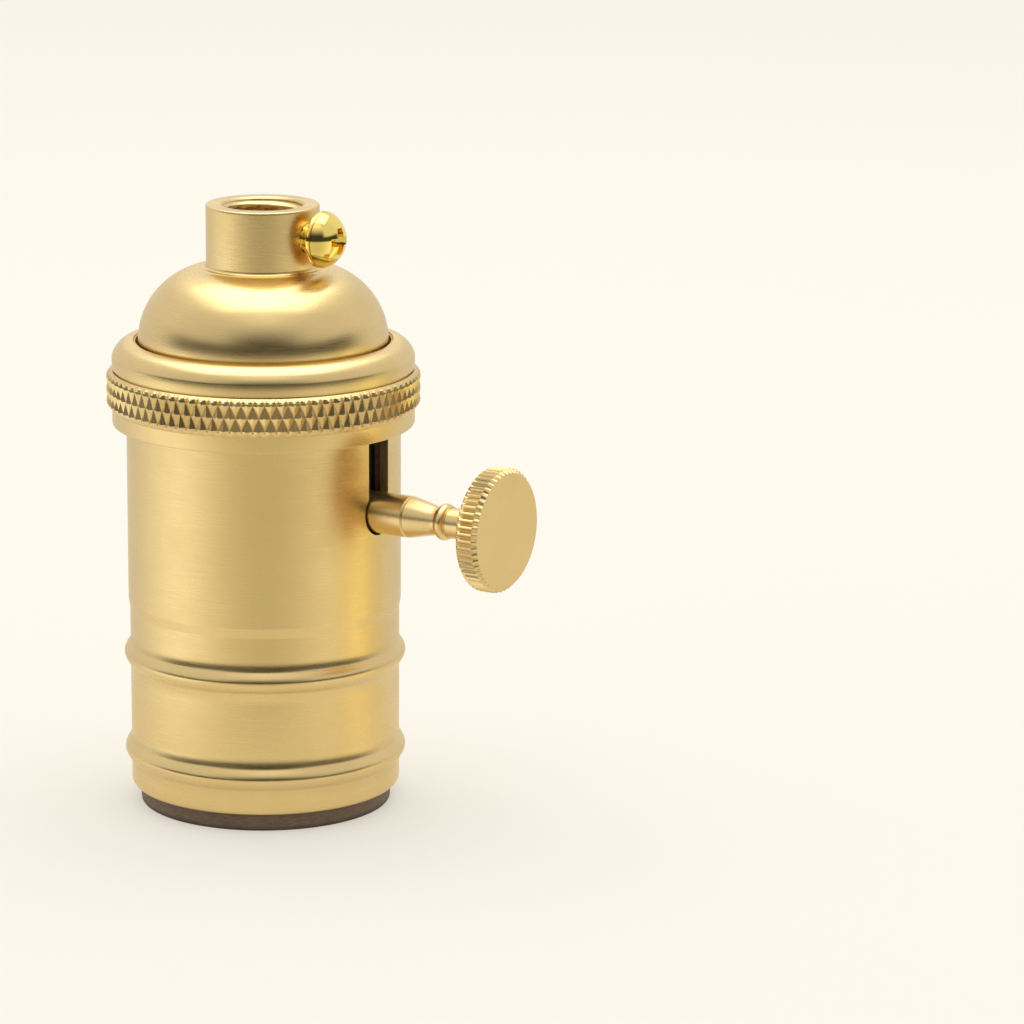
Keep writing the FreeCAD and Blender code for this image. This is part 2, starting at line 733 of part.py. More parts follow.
def knurl_grooves(hand):
    """One family of slanting V grooves; where the two families cross they leave four-sided points."""
    pitch = 2 * math.pi * knurl_radius / knurl_count
    slant = math.atan2(pitch, knurl_height)
    half_mouth = (pitch / 2) * math.cos(slant) - knurl_land / 2
    grow = 2.0
    profile = [Vector(knurl_radius - knurl_depth, 0, 0)]
    for side in (-1, 1):
        profile.append(Vector(knurl_radius + (grow - 1) * knurl_depth, side * grow * half_mouth, 0))
    reach = knurl_width + knurl_foot_bevel + knurl_head_bevel
    grooves = []
    for index in range(knurl_count):
        face = Part.Face(Part.makePolygon(profile + profile[:1]))
        face.translate(Vector(0, 0, -reach))
        groove = face.extrude(Vector(0, 0, 2 * reach))
        groove.rotate(ORIGIN, Vector(1, 0, 0), hand * math.degrees(slant))
        groove.translate(Vector(0, 0, knurl_low + knurl_middle))
        groove.rotate(ORIGIN, UP, 360.0 * (index + 0.5) / knurl_count)
        grooves.append(groove)
    return grooves


def set_screw():
    """Pan-headed grip screw in the neck, with a cross recess in its head."""
    crown = Outline(0, 0)
    edge = screw_head_edge
    crown.to((screw_head_radius - edge, 0), (screw_head_radius, edge), (screw_head_radius, screw_head_rim))
    rise = screw_head_height - screw_head_rim
    ball = (screw_head_radius ** 2 + rise ** 2) / (2 * rise)
    crown.around((0, screw_head_height - ball), (0, screw_head_height))
    head = crown.turned()
    length = screw_head_seat - screw_tip
    shank = rod(screw_shank_radius, -length, 0)
    screw = head.fuse(shank).removeSplitter()
    half, span = screw_recess_width / 2, screw_recess_span / 2
    low = screw_head_height - screw_recess_depth
    arms = [box((-span, span), (-half, half), (low, screw_head_height + 1)),
            box((-half, half), (-span, span), (low, screw_head_height + 1))]
    screw = screw.cut(arms)
    screw.rotate(ORIGIN, Vector(0, 1, 0), 90)
    screw.translate(Vector(screw_head_seat, 0, screw_height))
    return screw


PIECES = {
    "shell": shell,
    "fibre_liner": liner,
    "screw_shell": screw_shell,
    "screw_shell_rivets": screw_shell_rivets,
    "lamp_seat": lamp_seat,
    "centre_leaf": centre_leaf,
    "contact_rivet": contact_rivet,
    "contact_tip": contact_tip,
    "switch_cover": switch_cover,
    "switch_body": switch_body,
    "line_strip": line_strip,
    "lamp_strip": lamp_strip,
    "neutral_strip": neutral_strip,
    "terminal_screws": terminal_screws,
    "rotor": rotor,
    "bridge_blade": bridge_blade,
    "spindle": spindle,
    "spindle_clip": spindle_clip,
    "detent_spring": detent_spring,
    "key_knob": key_knob,
    "cap": cap,
    "coupling_ring": coupling_ring,
    "set_screw": set_screw,
}


def main():
    """Write one STEP file per piece."""
    os.makedirs("parts", exist_ok=True)
    for name, make in PIECES.items():
        shape = make()
        shape.exportStep(os.path.join("parts", name + ".step"))
        print(f"{name}: {len(shape.Solids)} solid(s), {shape.Volume:.1f} mm3, valid {shape.isValid()}")


main()
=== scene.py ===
"""Looks of a brass turn-key lamp holder: finishes, fine threads, knurl, light and camera."""

import logging
import math
from dataclasses import dataclass
from enum import Enum

import bmesh
import bpy
import numpy as np
from mathutils import Matrix, Vector

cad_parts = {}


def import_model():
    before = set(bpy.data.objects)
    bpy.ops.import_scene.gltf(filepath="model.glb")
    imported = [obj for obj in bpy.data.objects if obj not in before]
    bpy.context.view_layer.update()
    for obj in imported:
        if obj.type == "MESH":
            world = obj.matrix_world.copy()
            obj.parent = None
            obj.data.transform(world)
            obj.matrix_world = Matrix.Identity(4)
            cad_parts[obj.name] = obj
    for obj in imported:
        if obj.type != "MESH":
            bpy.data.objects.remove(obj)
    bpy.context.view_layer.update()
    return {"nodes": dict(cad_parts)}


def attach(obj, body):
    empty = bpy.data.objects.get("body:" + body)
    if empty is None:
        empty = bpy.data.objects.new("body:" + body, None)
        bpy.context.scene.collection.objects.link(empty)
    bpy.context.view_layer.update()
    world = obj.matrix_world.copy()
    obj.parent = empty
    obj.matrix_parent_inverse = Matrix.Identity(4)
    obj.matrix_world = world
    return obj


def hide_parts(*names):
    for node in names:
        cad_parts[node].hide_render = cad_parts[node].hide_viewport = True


LOG = logging.getLogger("lamp_holder")
MM = 0.001
TURN = 2 * math.pi
Colour = tuple[float, float, float]


# ---------------------------------------------------------------- profiles
def rounded(corners: list[tuple[float, ...]], steps: int = 5) -> np.ndarray:
    """Round the corners of an outline.

    Each corner (r, z, size) becomes the curve B(t) = (1-t)^2 A + 2 t (1-t) C + t^2 D, where C is the
    corner and A and D lie on its two sides, size away from it.  A corner without a size stays sharp.

    Args:
        corners: outline points in millimetres, each with an optional size.
        steps: points on each rounded corner.

    Returns:
        An array of (r, z) points, open-ended, in the order given.
    """
    table = np.array([tuple(c) + (0.0,) * (3 - len(c)) for c in corners], float)
    spots = table[:, :2]
    before, after = np.roll(spots, 1, axis=0), np.roll(spots, -1, axis=0)
    to_before, to_after = before - spots, after - spots
    long_before = np.linalg.norm(to_before, axis=1)
    long_after = np.linalg.norm(to_after, axis=1)
    size = np.minimum(table[:, 2], 0.5 * np.minimum(long_before, long_after))[:, None]
    first = spots + to_before / np.maximum(long_before, 1e-9)[:, None] * size
    last = spots + to_after / np.maximum(long_after, 1e-9)[:, None] * size
    t = np.linspace(0, 1, steps)[None, :, None]
    curves = (1 - t) ** 2 * first[:, None] + 2 * t * (1 - t) * spots[:, None] + t ** 2 * last[:, None]
    keep = np.ones((len(spots), steps), bool)
    keep[table[:, 2] == 0, 1:] = False
    return curves[keep]


def arc(centre: tuple[float, float], radius: float, start: float, stop: float, steps: int) -> np.ndarray:
    """Points on a circle: centre + radius (cos a, sin a), a going evenly from start to stop degrees."""
    angle = np.radians(np.linspace(start, stop, steps))
    return np.stack([centre[0] + radius * np.cos(angle), centre[1] + radius * np.sin(angle)], axis=1)


def upright(radius: float, z: np.ndarray) -> np.ndarray:
    """A straight stretch of outline: the same radius at every height."""
    return np.stack([np.full_like(z, radius), z], axis=1)


def refined(outline: np.ndarray, longest: float) -> np.ndarray:
    """Add evenly spaced points on every side of an outline that is longer than a given length.

    Args:
        outline: (n, 2) points of an open line.
        longest: the longest side to leave whole.

    Returns:
        The line with its extra points.
    """
    ends = np.roll(outline, -1, axis=0)
    counts = np.maximum(1, np.ceil(np.linalg.norm(ends - outline, axis=1) / longest)).astype(int)
    counts[-1] = 1
    index = np.repeat(np.arange(len(outline)), counts)
    share = (np.arange(counts.sum()) - np.repeat(np.cumsum(counts) - counts, counts)) / counts[index]
    return outline[index] + (ends - outline)[index] * share[:, None]


def sawtooth(phase: np.ndarray) -> np.ndarray:
    """A triangle wave of period 1 between 0, at whole numbers, and 1, halfway between them."""
    return 1 - np.abs(2 * (phase - np.floor(phase)) - 1)


# ---------------------------------------------------------------- meshes
def mesh_object(name: str, points: np.ndarray, faces: list[np.ndarray],
                crease: float = 32.0) -> bpy.types.Object:
    """Make an object from points in millimetres and arrays of faces.

    Args:
        name: the object's name.
        points: places, with X, Y and Z along the last axis.
        faces: arrays of three or four point numbers a row.
        crease: as in smoothed().

    Returns:
        The linked object, with doubles merged and its faces turned outwards.
    """
    mesh = bpy.data.meshes.new(name)
    places = (points.reshape(-1, 3) * MM).tolist()
    mesh.from_pydata(places, [], sum((group.tolist() for group in faces), []))
    work = bmesh.new()
    work.from_mesh(mesh)
    bmesh.ops.remove_doubles(work, verts=work.verts, dist=2e-7)
    bmesh.ops.dissolve_degenerate(work, edges=work.edges, dist=1e-8)
    bmesh.ops.recalc_face_normals(work, faces=work.faces)
    work.to_mesh(mesh)
    work.free()
    return linked(name, smoothed(mesh, crease))


def smoothed(mesh: bpy.types.Mesh, crease: float) -> bpy.types.Mesh:
    """Shade a mesh smooth but for its sharp edges.

    Args:
        mesh: the mesh.
        crease: edges that turn by more than this many degrees are sharp.

    Returns:
        The same mesh.
    """
    mesh.shade_smooth()
    mesh.set_sharp_from_angle(angle=math.radians(crease))
    return mesh


def linked(name: str, data: bpy.types.ID) -> bpy.types.Object:
    """Put a mesh, a lamp or a camera into the scene.

    Args:
        name: the object's name.
        data: what it shows.

    Returns:
        The object.
    """
    made = bpy.data.objects.new(name, data)
    bpy.context.scene.collection.objects.link(made)
    return made


def grid_faces(rows: int, columns: int, wrap_rows: bool, wrap_columns: bool) -> np.ndarray:
    """Quads over a grid of points numbered row by row.

    Args:
        rows, columns: the grid's size.
        wrap_rows, wrap_columns: whether the last row or column joins the first.

    Returns:
        (n, 4) point numbers.
    """
    down = np.arange(rows if wrap_rows else rows - 1)
    across = np.arange(columns if wrap_columns else columns - 1)
    i, j = np.meshgrid(down, across, indexing="ij")
    k, n = (i + 1) % rows, (j + 1) % columns
    corners = [i * columns + j, i * columns + n, k * columns + n, k * columns + j]
    return np.stack(corners, axis=-1).reshape(-1, 4)


def around(r: np.ndarray, angle: np.ndarray, z: np.ndarray) -> np.ndarray:
    """A grid of places (r cos a, r sin a, z) from radii, angles and heights, each a row, column or grid."""
    return np.stack(np.broadcast_arrays(r * np.cos(angle), r * np.sin(angle), z), axis=-1)


def turned(outline: np.ndarray, columns: int) -> tuple[np.ndarray, np.ndarray]:
    """Carry an outline round Z.

    The point on row i and column j is (r_i cos a_j, r_i sin a_j, z_i), with a_j = 2 pi j / columns.

    Args:
        outline: (rows, 2) array of (r, z).
        columns: steps in the full turn.

    Returns:
        (rows, columns, 3) places, and the (rows, columns) angles.
    """
    angle = np.broadcast_to(TURN * np.arange(columns) / columns, (len(outline), columns))
    return around(outline[:, :1], angle, outline[:, 1:]), angle


def drawn_in(points: np.ndarray, rows: slice, share: np.ndarray) -> None:
    """Scale some rows of a turned grid towards its axis, each point to its share of its radius."""
    points[rows, :, :2] *= share[..., None]


def laid_along_x(points: np.ndarray, height: float) -> np.ndarray:
    """Turn points made about Z so that their Z points along X, on an axis at a height: (z, y, h - x)."""
    return np.stack([points[..., 2], points[..., 1], height - points[..., 0]], axis=-1)


def cut_away(piece: bpy.types.Object, tools: list[bpy.types.Object], crease: float) -> None:
    """Take closed tools out of a piece, and the tools out of the scene.

    Args:
        piece: what is cut.
        tools: the shapes to remove from it.
        crease: as in smoothed().
    """
    for tool in tools:
        cut = piece.modifiers.new(tool.name, "BOOLEAN")
        cut.object = tool
        cut.operation = "DIFFERENCE"
        cut.solver = "EXACT"
    graph = bpy.context.evaluated_depsgraph_get()
    left = bpy.data.meshes.new_from_object(piece.evaluated_get(graph))
    piece.modifiers.clear()
    piece.data = smoothed(left, crease)
    for tool in tools:
        bpy.data.objects.remove(tool)


# ---------------------------------------------------------------- shader maths
class Value:
    """A shader socket that can be used in Python expressions."""

    def __init__(self, tree: bpy.types.NodeTree, socket: bpy.types.NodeSocket) -> None:
        """Wrap a socket of a node tree."""
        self.tree = tree
        self.socket = socket

    def _math(self, operation: str, first: "Value | float", second: "Value | float" = 0.0) -> "Value":
        """Add a Math node.

        Args:
            operation: what the node works out.
            first, second: its terms, of which one is usually this value.

        Returns:
            The result.
        """
        node = self.tree.nodes.new("ShaderNodeMath")
        node.operation = operation
        for place, item in enumerate((first, second)):
            if isinstance(item, Value):
                self.tree.links.new(item.socket, node.inputs[place])
            else:
                node.inputs[place].default_value = float(item)
        return Value(self.tree, node.outputs[0])

    def __add__(self, other: "Value | float") -> "Value":
        """Sum."""
        return self._math("ADD", self, other)

    def __radd__(self, other: float) -> "Value":
        """Sum with a number first."""
        return self._math("ADD", other, self)

    def __sub__(self, other: "Value | float") -> "Value":
        """Difference."""
        return self._math("SUBTRACT", self, other)

    def __rsub__(self, other: float) -> "Value":
        """Difference from a number."""
        return self._math("SUBTRACT", other, self)

    def __mul__(self, other: "Value | float") -> "Value":
        """Product."""
        return self._math("MULTIPLY", self, other)

    def __rmul__(self, other: float) -> "Value":
        """Product with a number first."""
        return self._math("MULTIPLY", other, self)

    def __truediv__(self, other: "Value | float") -> "Value":
        """Quotient."""
        return self._math("DIVIDE", self, other)

    def __rtruediv__(self, other: float) -> "Value":
        """A number over this value."""
        return self._math("DIVIDE", other, self)

    def power(self, exponent: float) -> "Value":
        """This value to a power."""
        return self._math("POWER", self, exponent)

    def least(self, other: "Value | float") -> "Value":
        """The smaller of this and another."""
        return self._math("MINIMUM", self, other)

    def most(self, other: "Value | float") -> "Value":
        """The larger of this and another."""
        return self._math("MAXIMUM", self, other)

    def clamped(self) -> "Value":
        """This value kept between 0 and 1."""
        return self.least(1.0).most(0.0)

    def absolute(self) -> "Value":
        """This value without its sign."""
        return self._math("ABSOLUTE", self)

    def ramp(self, start: float, stop: float) -> "Value":
        """The way that this value has gone from start to stop, kept between 0 and 1."""
        return ((self - start) / (stop - start)).clamped()

    def peak(self, middle: float, reach: float, steep: float = 1.0) -> "Value":
        """1 where this value is at a middle, falling to 0 at its reach on both sides, steeper than even."""
        return ((1.0 - (self - middle).absolute() / reach) * steep).clamped()

    def towards(self, other: "Value | float", share: "Value") -> "Value":
        """This value moved a share of the way to another."""
        return self + (other - self) * share


class Network:
    """A node tree under construction, with one method for every kind of node."""

    def __init__(self, tree: bpy.types.NodeTree) -> None:
        """Start on a node tree."""
        self.tree = tree

    def node(self, kind: str, settings: dict[str, object] | None = None,
             sockets: dict[object, object] | None = None) -> bpy.types.Node:
        """Add any node.

        Args:
            kind: the node's type name.
            settings: attributes, which are set first.
            sockets: values or links of its inputs, by name or number.

        Returns:
            The new node.
        """
        made = self.tree.nodes.new(kind)
        for key, value in (settings or {}).items():
            setattr(made, key, value)
        for key, value in (sockets or {}).items():
            self.plug(made, key, value)
        return made

    def plug(self, node: bpy.types.Node, name: object, value: object) -> None:
        """Set or link one input of a node.

        Args:
            node: the node.
            name: the input's name or number.
            value: a value to link, a colour without its alpha, or what the input holds.
        """
        socket = node.inputs[name]
        if isinstance(value, Value):
            self.tree.links.new(value.socket, socket)
        elif socket.type == "RGBA":
            socket.default_value = (*value, 1.0)
        else:
            socket.default_value = value

    def out(self, node: bpy.types.Node, name: object = 0) -> Value:
        """One output of a node as a value."""
        return Value(self.tree, node.outputs[name])

    def ray(self, kind: str) -> Value:
        """1 for light rays of a kind, such as Is Camera Ray, and 0 for the others."""
        return self.out(self.node("ShaderNodeLightPath"), kind)


class Finish(Network):
    """A material under construction."""

    def __init__(self, name: str) -> None:
        """Start an empty node material.

        Args:
            name: the material's name.
        """
        self.material = bpy.data.materials.new(name)
        self.material.use_nodes = True
        super().__init__(self.material.node_tree)
        self.shader = self.tree.nodes["Principled BSDF"]

    def place(self) -> tuple[Value, Value, Value]:
        """Object coordinates in millimetres.

        Returns:
            X, Y and Z.
        """
        coordinates = self.node("ShaderNodeTexCoord")
        split = self.node("ShaderNodeSeparateXYZ", None, {0: self.out(coordinates, "Object")})
        return tuple(self.out(split, axis) * (1 / MM) for axis in range(3))

    def vector(self, x: Value, y: Value, z: Value) -> Value:
        """A vector from three values."""
        return self.out(self.node("ShaderNodeCombineXYZ", None, {0: x, 1: y, 2: z}))

    def noise(self, where: Value, scale: float, detail: float, roughness: float,
              fourth: Value | None = None) -> Value:
        """Noise about 0.5.

        Args:
            where: the place as a vector.
            scale, detail, roughness: the pattern's fineness, its layers and how strong the fine ones are.
            fourth: a fourth coordinate, where there is one.

        Returns:
            The noise.
        """
        sockets = {"Vector": where, "Scale": scale, "Detail": detail, "Roughness": roughness}
        if fourth is not None:
            sockets["W"] = fourth
        settings = {"noise_dimensions": "3D" if fourth is None else "4D"}
        return self.out(self.node("ShaderNodeTexNoise", settings, sockets), "Fac")

    def mix(self, share: Value, first: "Value | Colour", second: "Value | Colour") -> Value:
        """Mix two colours: the first where the share is 0, the second where it is 1."""
        node = self.node("ShaderNodeMix", {"data_type": "RGBA"}, {0: share, 6: first, 7: second})
        return self.out(node, 2)

    def bump(self, height: Value, strength: float, distance: float) -> None:
        """Put a height, of a distance in millimetres from 0 to 1, under the shader's normal."""
        sockets = {"Strength": strength, "Distance": distance * MM, "Height": height}
        self.feed("Normal", self.out(self.node("ShaderNodeBump", None, sockets)))

    def feed(self, name: str, value: object) -> None:
        """Set or link one input of the shader."""
        self.plug(self.shader, name, value)

    def open_up(self, share: Value) -> None:
        """Let light rays pass as though the surface weren't there.

        Args:
            share: the share of them that pass.
        """
        hole = self.out(self.node("ShaderNodeBsdfTransparent"))
        both = self.node("ShaderNodeMixShader", None, {0: share, 1: self.out(self.shader), 2: hole})
        self.plug(self.tree.nodes["Material Output"], 0, self.out(both))

    def dress(self, *pieces: bpy.types.Object) -> None:
        """Give this material to pieces in place of what they have.

        Args:
            pieces: the objects.
        """
        for piece in pieces:
            piece.data.materials.clear()
            piece.data.materials.append(self.material)


# ---------------------------------------------------------------- finishes
class Axis(Enum):
    """The axis that a piece was turned about."""

    UP = "up"
    KEY = "key"


@dataclass(frozen=True)
class TurnedMetal:
    """Satin metal with fine marks that run round the axis it was turned about."""

    name: str
    colour: Colour
    shade: Colour
    roughness: float = 0.3
    spread: float = 0.05
    anisotropy: float = 0.5
    marks_per_mm: float = 9.0
    marks_round: float = 5.0
    long_marks_round: float = 2.0
    long_marks_share: float = 0.35
    mark_depth: float = 0.004
    grain: float = 0.0
    grain_per_mm: float = 3.2
    clouds_per_mm: float = 0.12
    axis: Axis = Axis.UP
    axis_height: float = 0.0

    def finish(self) -> Finish:
        """Build the material.

        The marks are noise of (k cos a, k sin a, m s) and m r, where a is the angle round the axis, s the
        way along it and r the way out from it, so each mark is a short arc.  Longer marks and wide clouds
        shift the colour and the roughness, and a cast piece has grain on top.

        Returns:
            The finish.
        """
        made = Finish(self.name)
        x, y, z = made.place()
        along, side_a, side_b = (z, x, y) if self.axis is Axis.UP else (x, y, z - self.axis_height)
        radius = (side_a * side_a + side_b * side_b + 0.01).power(0.5)

        def arcs(round_it: float, per_mm: float, roughness: float) -> Value:
            """Marks round the axis, by their number round it, number a millimetre and roughness."""
            where = made.vector(side_a / radius * round_it, side_b / radius * round_it, along * per_mm)
            return made.noise(where, 1.0, 2.0, roughness, fourth=radius * per_mm)

        marks = arcs(self.marks_round, self.marks_per_mm, 0.7)
        long_marks = arcs(self.long_marks_round, self.marks_per_mm * self.long_marks_share, 0.6)
        cloud = made.noise(made.vector(x, y, z), self.clouds_per_mm, 3.0, 0.6)
        patch = ((cloud - 0.42) * 3.0).clamped()
        streak = ((long_marks - 0.4) * 2.2).clamped()
        made.feed("Base Color", made.mix(patch * 0.45 + streak * 0.25, self.colour, self.shade))
        made.feed("Metallic", 1.0)
        uneven = (marks - 0.5) * self.spread * 2.0 + (cloud - 0.5) * self.spread
        made.feed("Roughness", uneven + self.roughness)
        made.feed("Anisotropic", self.anisotropy)
        height = marks * 0.8 + long_marks * 0.2
        if self.grain:
            sand = made.noise(made.vector(x, y, z), self.grain_per_mm, 4.0, 0.7)
            height = height * (1.0 - self.grain) + sand * self.grain
        made.bump(height, 1.0, self.mark_depth)
        return made


@dataclass(frozen=True)
class PressedFibre:
    """Brown vulcanised fibre, darker towards its bottom end."""

    name: str = "pressed_fibre"
    colour: Colour = (0.14, 0.092, 0.054)
    # The colour that the liner darkens to at its bottom end.
    bottom_colour: Colour = (0.02, 0.013, 0.009)
    pale: float = 1.9
    rim_height: float = 0.7
    roughness: float = 0.62
    spread: float = 0.3
    relief: float = 0.05

    def finish(self) -> Finish:
        """Build the material: stretched fibre noise, and a dark band that fades out above the rim.

        Returns:
            The finish.
        """
        made = Finish(self.name)
        x, y, z = made.place()
        fibres = made.noise(made.vector(x * 0.6, y * 0.6, z * 3.5), 1.6, 5.0, 0.65)
        cloud = made.noise(made.vector(x, y, z), 0.35, 3.0, 0.5)
        # A darker band at the bottom end, fading out upwards over rim_height.
        band = (1.0 - z / self.rim_height).clamped()
        light = tuple(c * self.pale for c in self.colour)
        body = made.mix(((fibres - 0.4) * 2.5).clamped(), self.colour, light)
        made.feed("Base Color", made.mix((band * 0.9 + (cloud - 0.5) * 0.6).clamped(), body, self.bottom_colour))
        made.feed("Roughness", (fibres - 0.5) * self.spread + self.roughness)
        made.bump(fibres, 0.8, self.relief)
        return made


@dataclass(frozen=True)
class Moulded:
    """Moulded or fired insulator with a fine grain."""

    name: str
    colour: Colour
    roughness: float
    spread: float = 0.25
    grain_per_mm: float = 2.5
    relief: float = 0.02

    def finish(self) -> Finish:
        """Build the material: speckled colour and a shallow grain.

        Returns:
            The finish.
        """
        made = Finish(self.name)
        where = made.vector(*made.place())
        grain = made.noise(where, self.grain_per_mm, 4.0, 0.6)
        cloud = made.noise(where, self.grain_per_mm * 0.12, 2.0, 0.5)
        light = tuple(min(1.0, c * 1.35 + 0.01) for c in self.colour)
        made.feed("Base Color", made.mix(((grain - 0.35) * 1.6).clamped(), self.colour, light))
        made.feed("Roughness", (cloud - 0.5) * self.spread + self.roughness)
        made.bump(grain, 0.5, self.relief)
        return made


@dataclass(frozen=True)
class Paper:
    """Matt paper with a light of its own, which metal sees only round the holder's foot."""

    name: str = "paper"
    colour: Colour = (0.38, 0.367, 0.337)
    glow: Colour = (0.488, 0.47, 0.42)
    far_glow: float = 1.08
    glow_reach: float = 800.0
    near: float = 30.0
    far: float = 90.0

    def finish(self) -> Finish:
        """Build the material: light that grows slowly outwards, and a way through for reflections far out.

        Returns:
            The finish.
        """
        made = Finish(self.name)
        made.feed("Base Color", self.colour)
        made.feed("Roughness", 0.9)
        made.feed("Specular IOR Level", 0.1)
        x, y, _ = made.place()
        out = (x * x + y * y).power(0.5)
        far_light = tuple(c * self.far_glow for c in self.glow)
        made.feed("Emission Color", made.mix(out.ramp(0.0, self.glow_reach), self.glow, far_light))
        made.feed("Emission Strength", 1.0)
        made.open_up(out.ramp(self.near, self.far) * made.ray("Is Glossy Ray"))
        return made


# ---------------------------------------------------------------- sub-assemblies
def place(piece: bpy.types.Object, finish: Finish, body: str, slot: str, node: str) -> None:
    """Dress a piece and hang it on its body, in place of its plain node.

    Args:
        piece: the piece.
        finish: its look.
        body, slot, node: the body that it rides, a material slot's name, which is not used, and the node
            that it replaces.
    """
    finish.dress(piece)
    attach(piece, body)
    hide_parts(node)
    LOG.info("%s: %d faces on %s", piece.name, len(piece.data.polygons), body)


@dataclass
class Barrel:
    """The spun shell and the fibre liner inside it."""

    radius: float = 17.05
    wall: float = 1.0
    foot: float = 2.2
    top: float = 55.6
    lip: float = 0.75
    beads: tuple[float, float] = (6.9, 19.4)
    bead_width: float = 3.0
    bead_rise: float = 0.78
    bead_power: float = 1.15
    collar: float = 17.25
    collar_low: float = 25.15
    collar_high: float = 26.4
    key_height: float = 39.4
    slot_half: float = 2.2
    hole: float = 2.9
    hole_rows: int = 30
    liner_radius: float = 15.9
    liner_wall: float = 0.9
    liner_margin: float = 0.6
    liner_wear: float = 0.12
    columns: int = 256
    liner_columns: int = 192

    def swell(self, way: np.ndarray) -> np.ndarray:
        """How far a bead stands out: rise cos(pi way / 2) ^ power, where way is -1 and 1 at its edges."""
        return self.bead_rise * np.cos(way * math.pi / 2) ** self.bead_power

    def bead(self, height: float) -> np.ndarray:
        """A bead's section about a height, bottom to top, with soft creases at its edges."""
        way = np.linspace(-1, 1, 15)
        return np.stack([self.radius + self.swell(way), height + way * self.bead_width / 2], axis=1)

    def outer_line(self) -> np.ndarray:
        """The shell's outside.

        Returns:
            (r, z) points from its lip to its top.
        """
        lip = arc((self.radius - self.lip, self.foot + self.lip), self.lip, -90, 0, 9)
        step = rounded([(self.radius, self.collar_low - 0.3), (self.radius, self.collar_low, 0.1),
                        (self.collar, self.collar_high, 0.1), (self.collar, self.collar_high + 0.3)])
        beads = [self.bead(height) for height in self.beads]
        return np.vstack([lip, *beads, step, [[self.collar, self.top]]])

    def inner_radius(self, z: np.ndarray) -> np.ndarray:
        """The shell's inside: a plain tube that swells a little behind each bead.

        Args:
            z: heights.

        Returns:
            The radius at each.
        """
        radius = np.full_like(z, self.radius - self.wall)
        for height in self.beads:
            radius += 0.8 * self.swell(np.clip((z - height) / (self.bead_width * 0.4), -1, 1))
        return radius

    def edge_half(self, z: np.ndarray, margin: float) -> np.ndarray:
        """Half the key slot's width: the round hole below, the straight trench above.

        Args:
            z: heights.
            margin: how much wider than the shell's the slot is on every side.

        Returns:
            The half width at each height.
        """
        drop = z - self.key_height
        round_part = np.sqrt(np.maximum((self.hole + margin) ** 2 - drop ** 2, 0))
        round_part = np.where(round_part < 0.05, 0, round_part)
        return np.where(drop > 0, np.maximum(round_part, self.slot_half + margin), round_part)

    def slotted_tube(self, name: str, z: np.ndarray, outer: np.ndarray, inner: np.ndarray, margin: float,
                     columns: int) -> bpy.types.Object:
        """A tube whose wall opens along +X.

        Column j of row i stands at angle e_i + (2 pi - 2 e_i) j / columns, where sin e_i is the slot's half
        width at that height over the wall's radius, so the grid's two ends are the slot's two edges.

        Args:
            name: the object's name.
            z, outer, inner: heights from the bottom up, and the two radii at each.
            margin: how much wider than the shell's the slot is on every side.
            columns: steps round the tube.

        Returns:
            The closed object.
        """
        gap = self.edge_half(z, margin)
        walls = []
        for radius in (outer, inner):
            start = np.arcsin(gap / radius)[:, None]
            angle = start + (TURN - 2 * start) * np.linspace(0, 1, columns + 1)
            walls.append(around(radius[:, None], angle, z[:, None]))
        rows, across = len(z), columns + 1
        behind = rows * across
        skin = grid_faces(rows, across, False, False)
        column = np.arange(columns)
        low = np.stack([column + 1, column, column + behind, column + 1 + behind], axis=1)
        high = low[:, ::-1] + (rows - 1) * across
        open_rows = np.nonzero((gap[:-1] > 0) | (gap[1:] > 0))[0] * across
        edges = [np.stack([a, a + across, a + across + behind, a + behind], axis=1)
                 for a in (open_rows, open_rows + columns)]
        return mesh_object(name, np.stack(walls), [skin, skin[:, ::-1] + behind, low, high, *edges], 40.0)

    def heights(self, line: np.ndarray, longest: float, foot: float, margin: float) -> np.ndarray:
        """Rows for a tube, with extra ones round the hole, spaced as (1 - cos) so that it comes out round.

        Args:
            line: the outline that has to be followed.
            longest: the longest step up.
            foot: the tube's lower end.
            margin: how much wider than the shell's the slot is on every side.

        Returns:
            Heights from the foot to the shell's top.
        """
        turn = np.linspace(0, math.pi * 0.8, self.hole_rows)
        extra = self.key_height - (self.hole + margin) * np.cos(turn)
        z = np.unique(np.round(np.concatenate([refined(line, longest)[:, 1], extra]), 5))
        return z[(z >= foot) & (z <= self.top)]

    def shell(self) -> bpy.types.Object:
        """The spun brass shell.

        Returns:
            The object.
        """
        line = self.outer_line()
        z = self.heights(line, 1.5, self.foot, 0.0)
        order = np.argsort(line[:, 1], kind="stable")
        outer = np.interp(z, line[order, 1], line[order, 0])
        outer[0] = self.radius - self.lip
        inner = np.maximum(np.minimum(self.inner_radius(z), outer - 0.2), 0)
        return self.slotted_tube("barrel_shell", z, outer, inner, 0.0, self.columns)

    def liner(self) -> bpy.types.Object:
        """The fibre liner, with a slightly worn rim.

        Returns:
            The object.
        """
        line = upright(0.0, np.array([0, 0.12, 0.3, 0.8, 1.6, 2.4, self.top]))
        z = self.heights(line, 2.0, 0.0, self.liner_margin)
        worn = self.liner_wear * np.exp(-z / self.liner_wear)
        outer = self.liner_radius - worn
        inner = self.liner_radius - self.liner_wall + worn * 0.7
        return self.slotted_tube("liner_tube", z, outer, inner, self.liner_margin, self.liner_columns)

    def build(self, brass: Finish, fibre: Finish) -> None:
        """Make and hang both pieces."""
        place(self.shell(), brass, "barrel", "brass_satin", "shell")
        place(self.liner(), fibre, "barrel", "fibre", "fibre_liner")


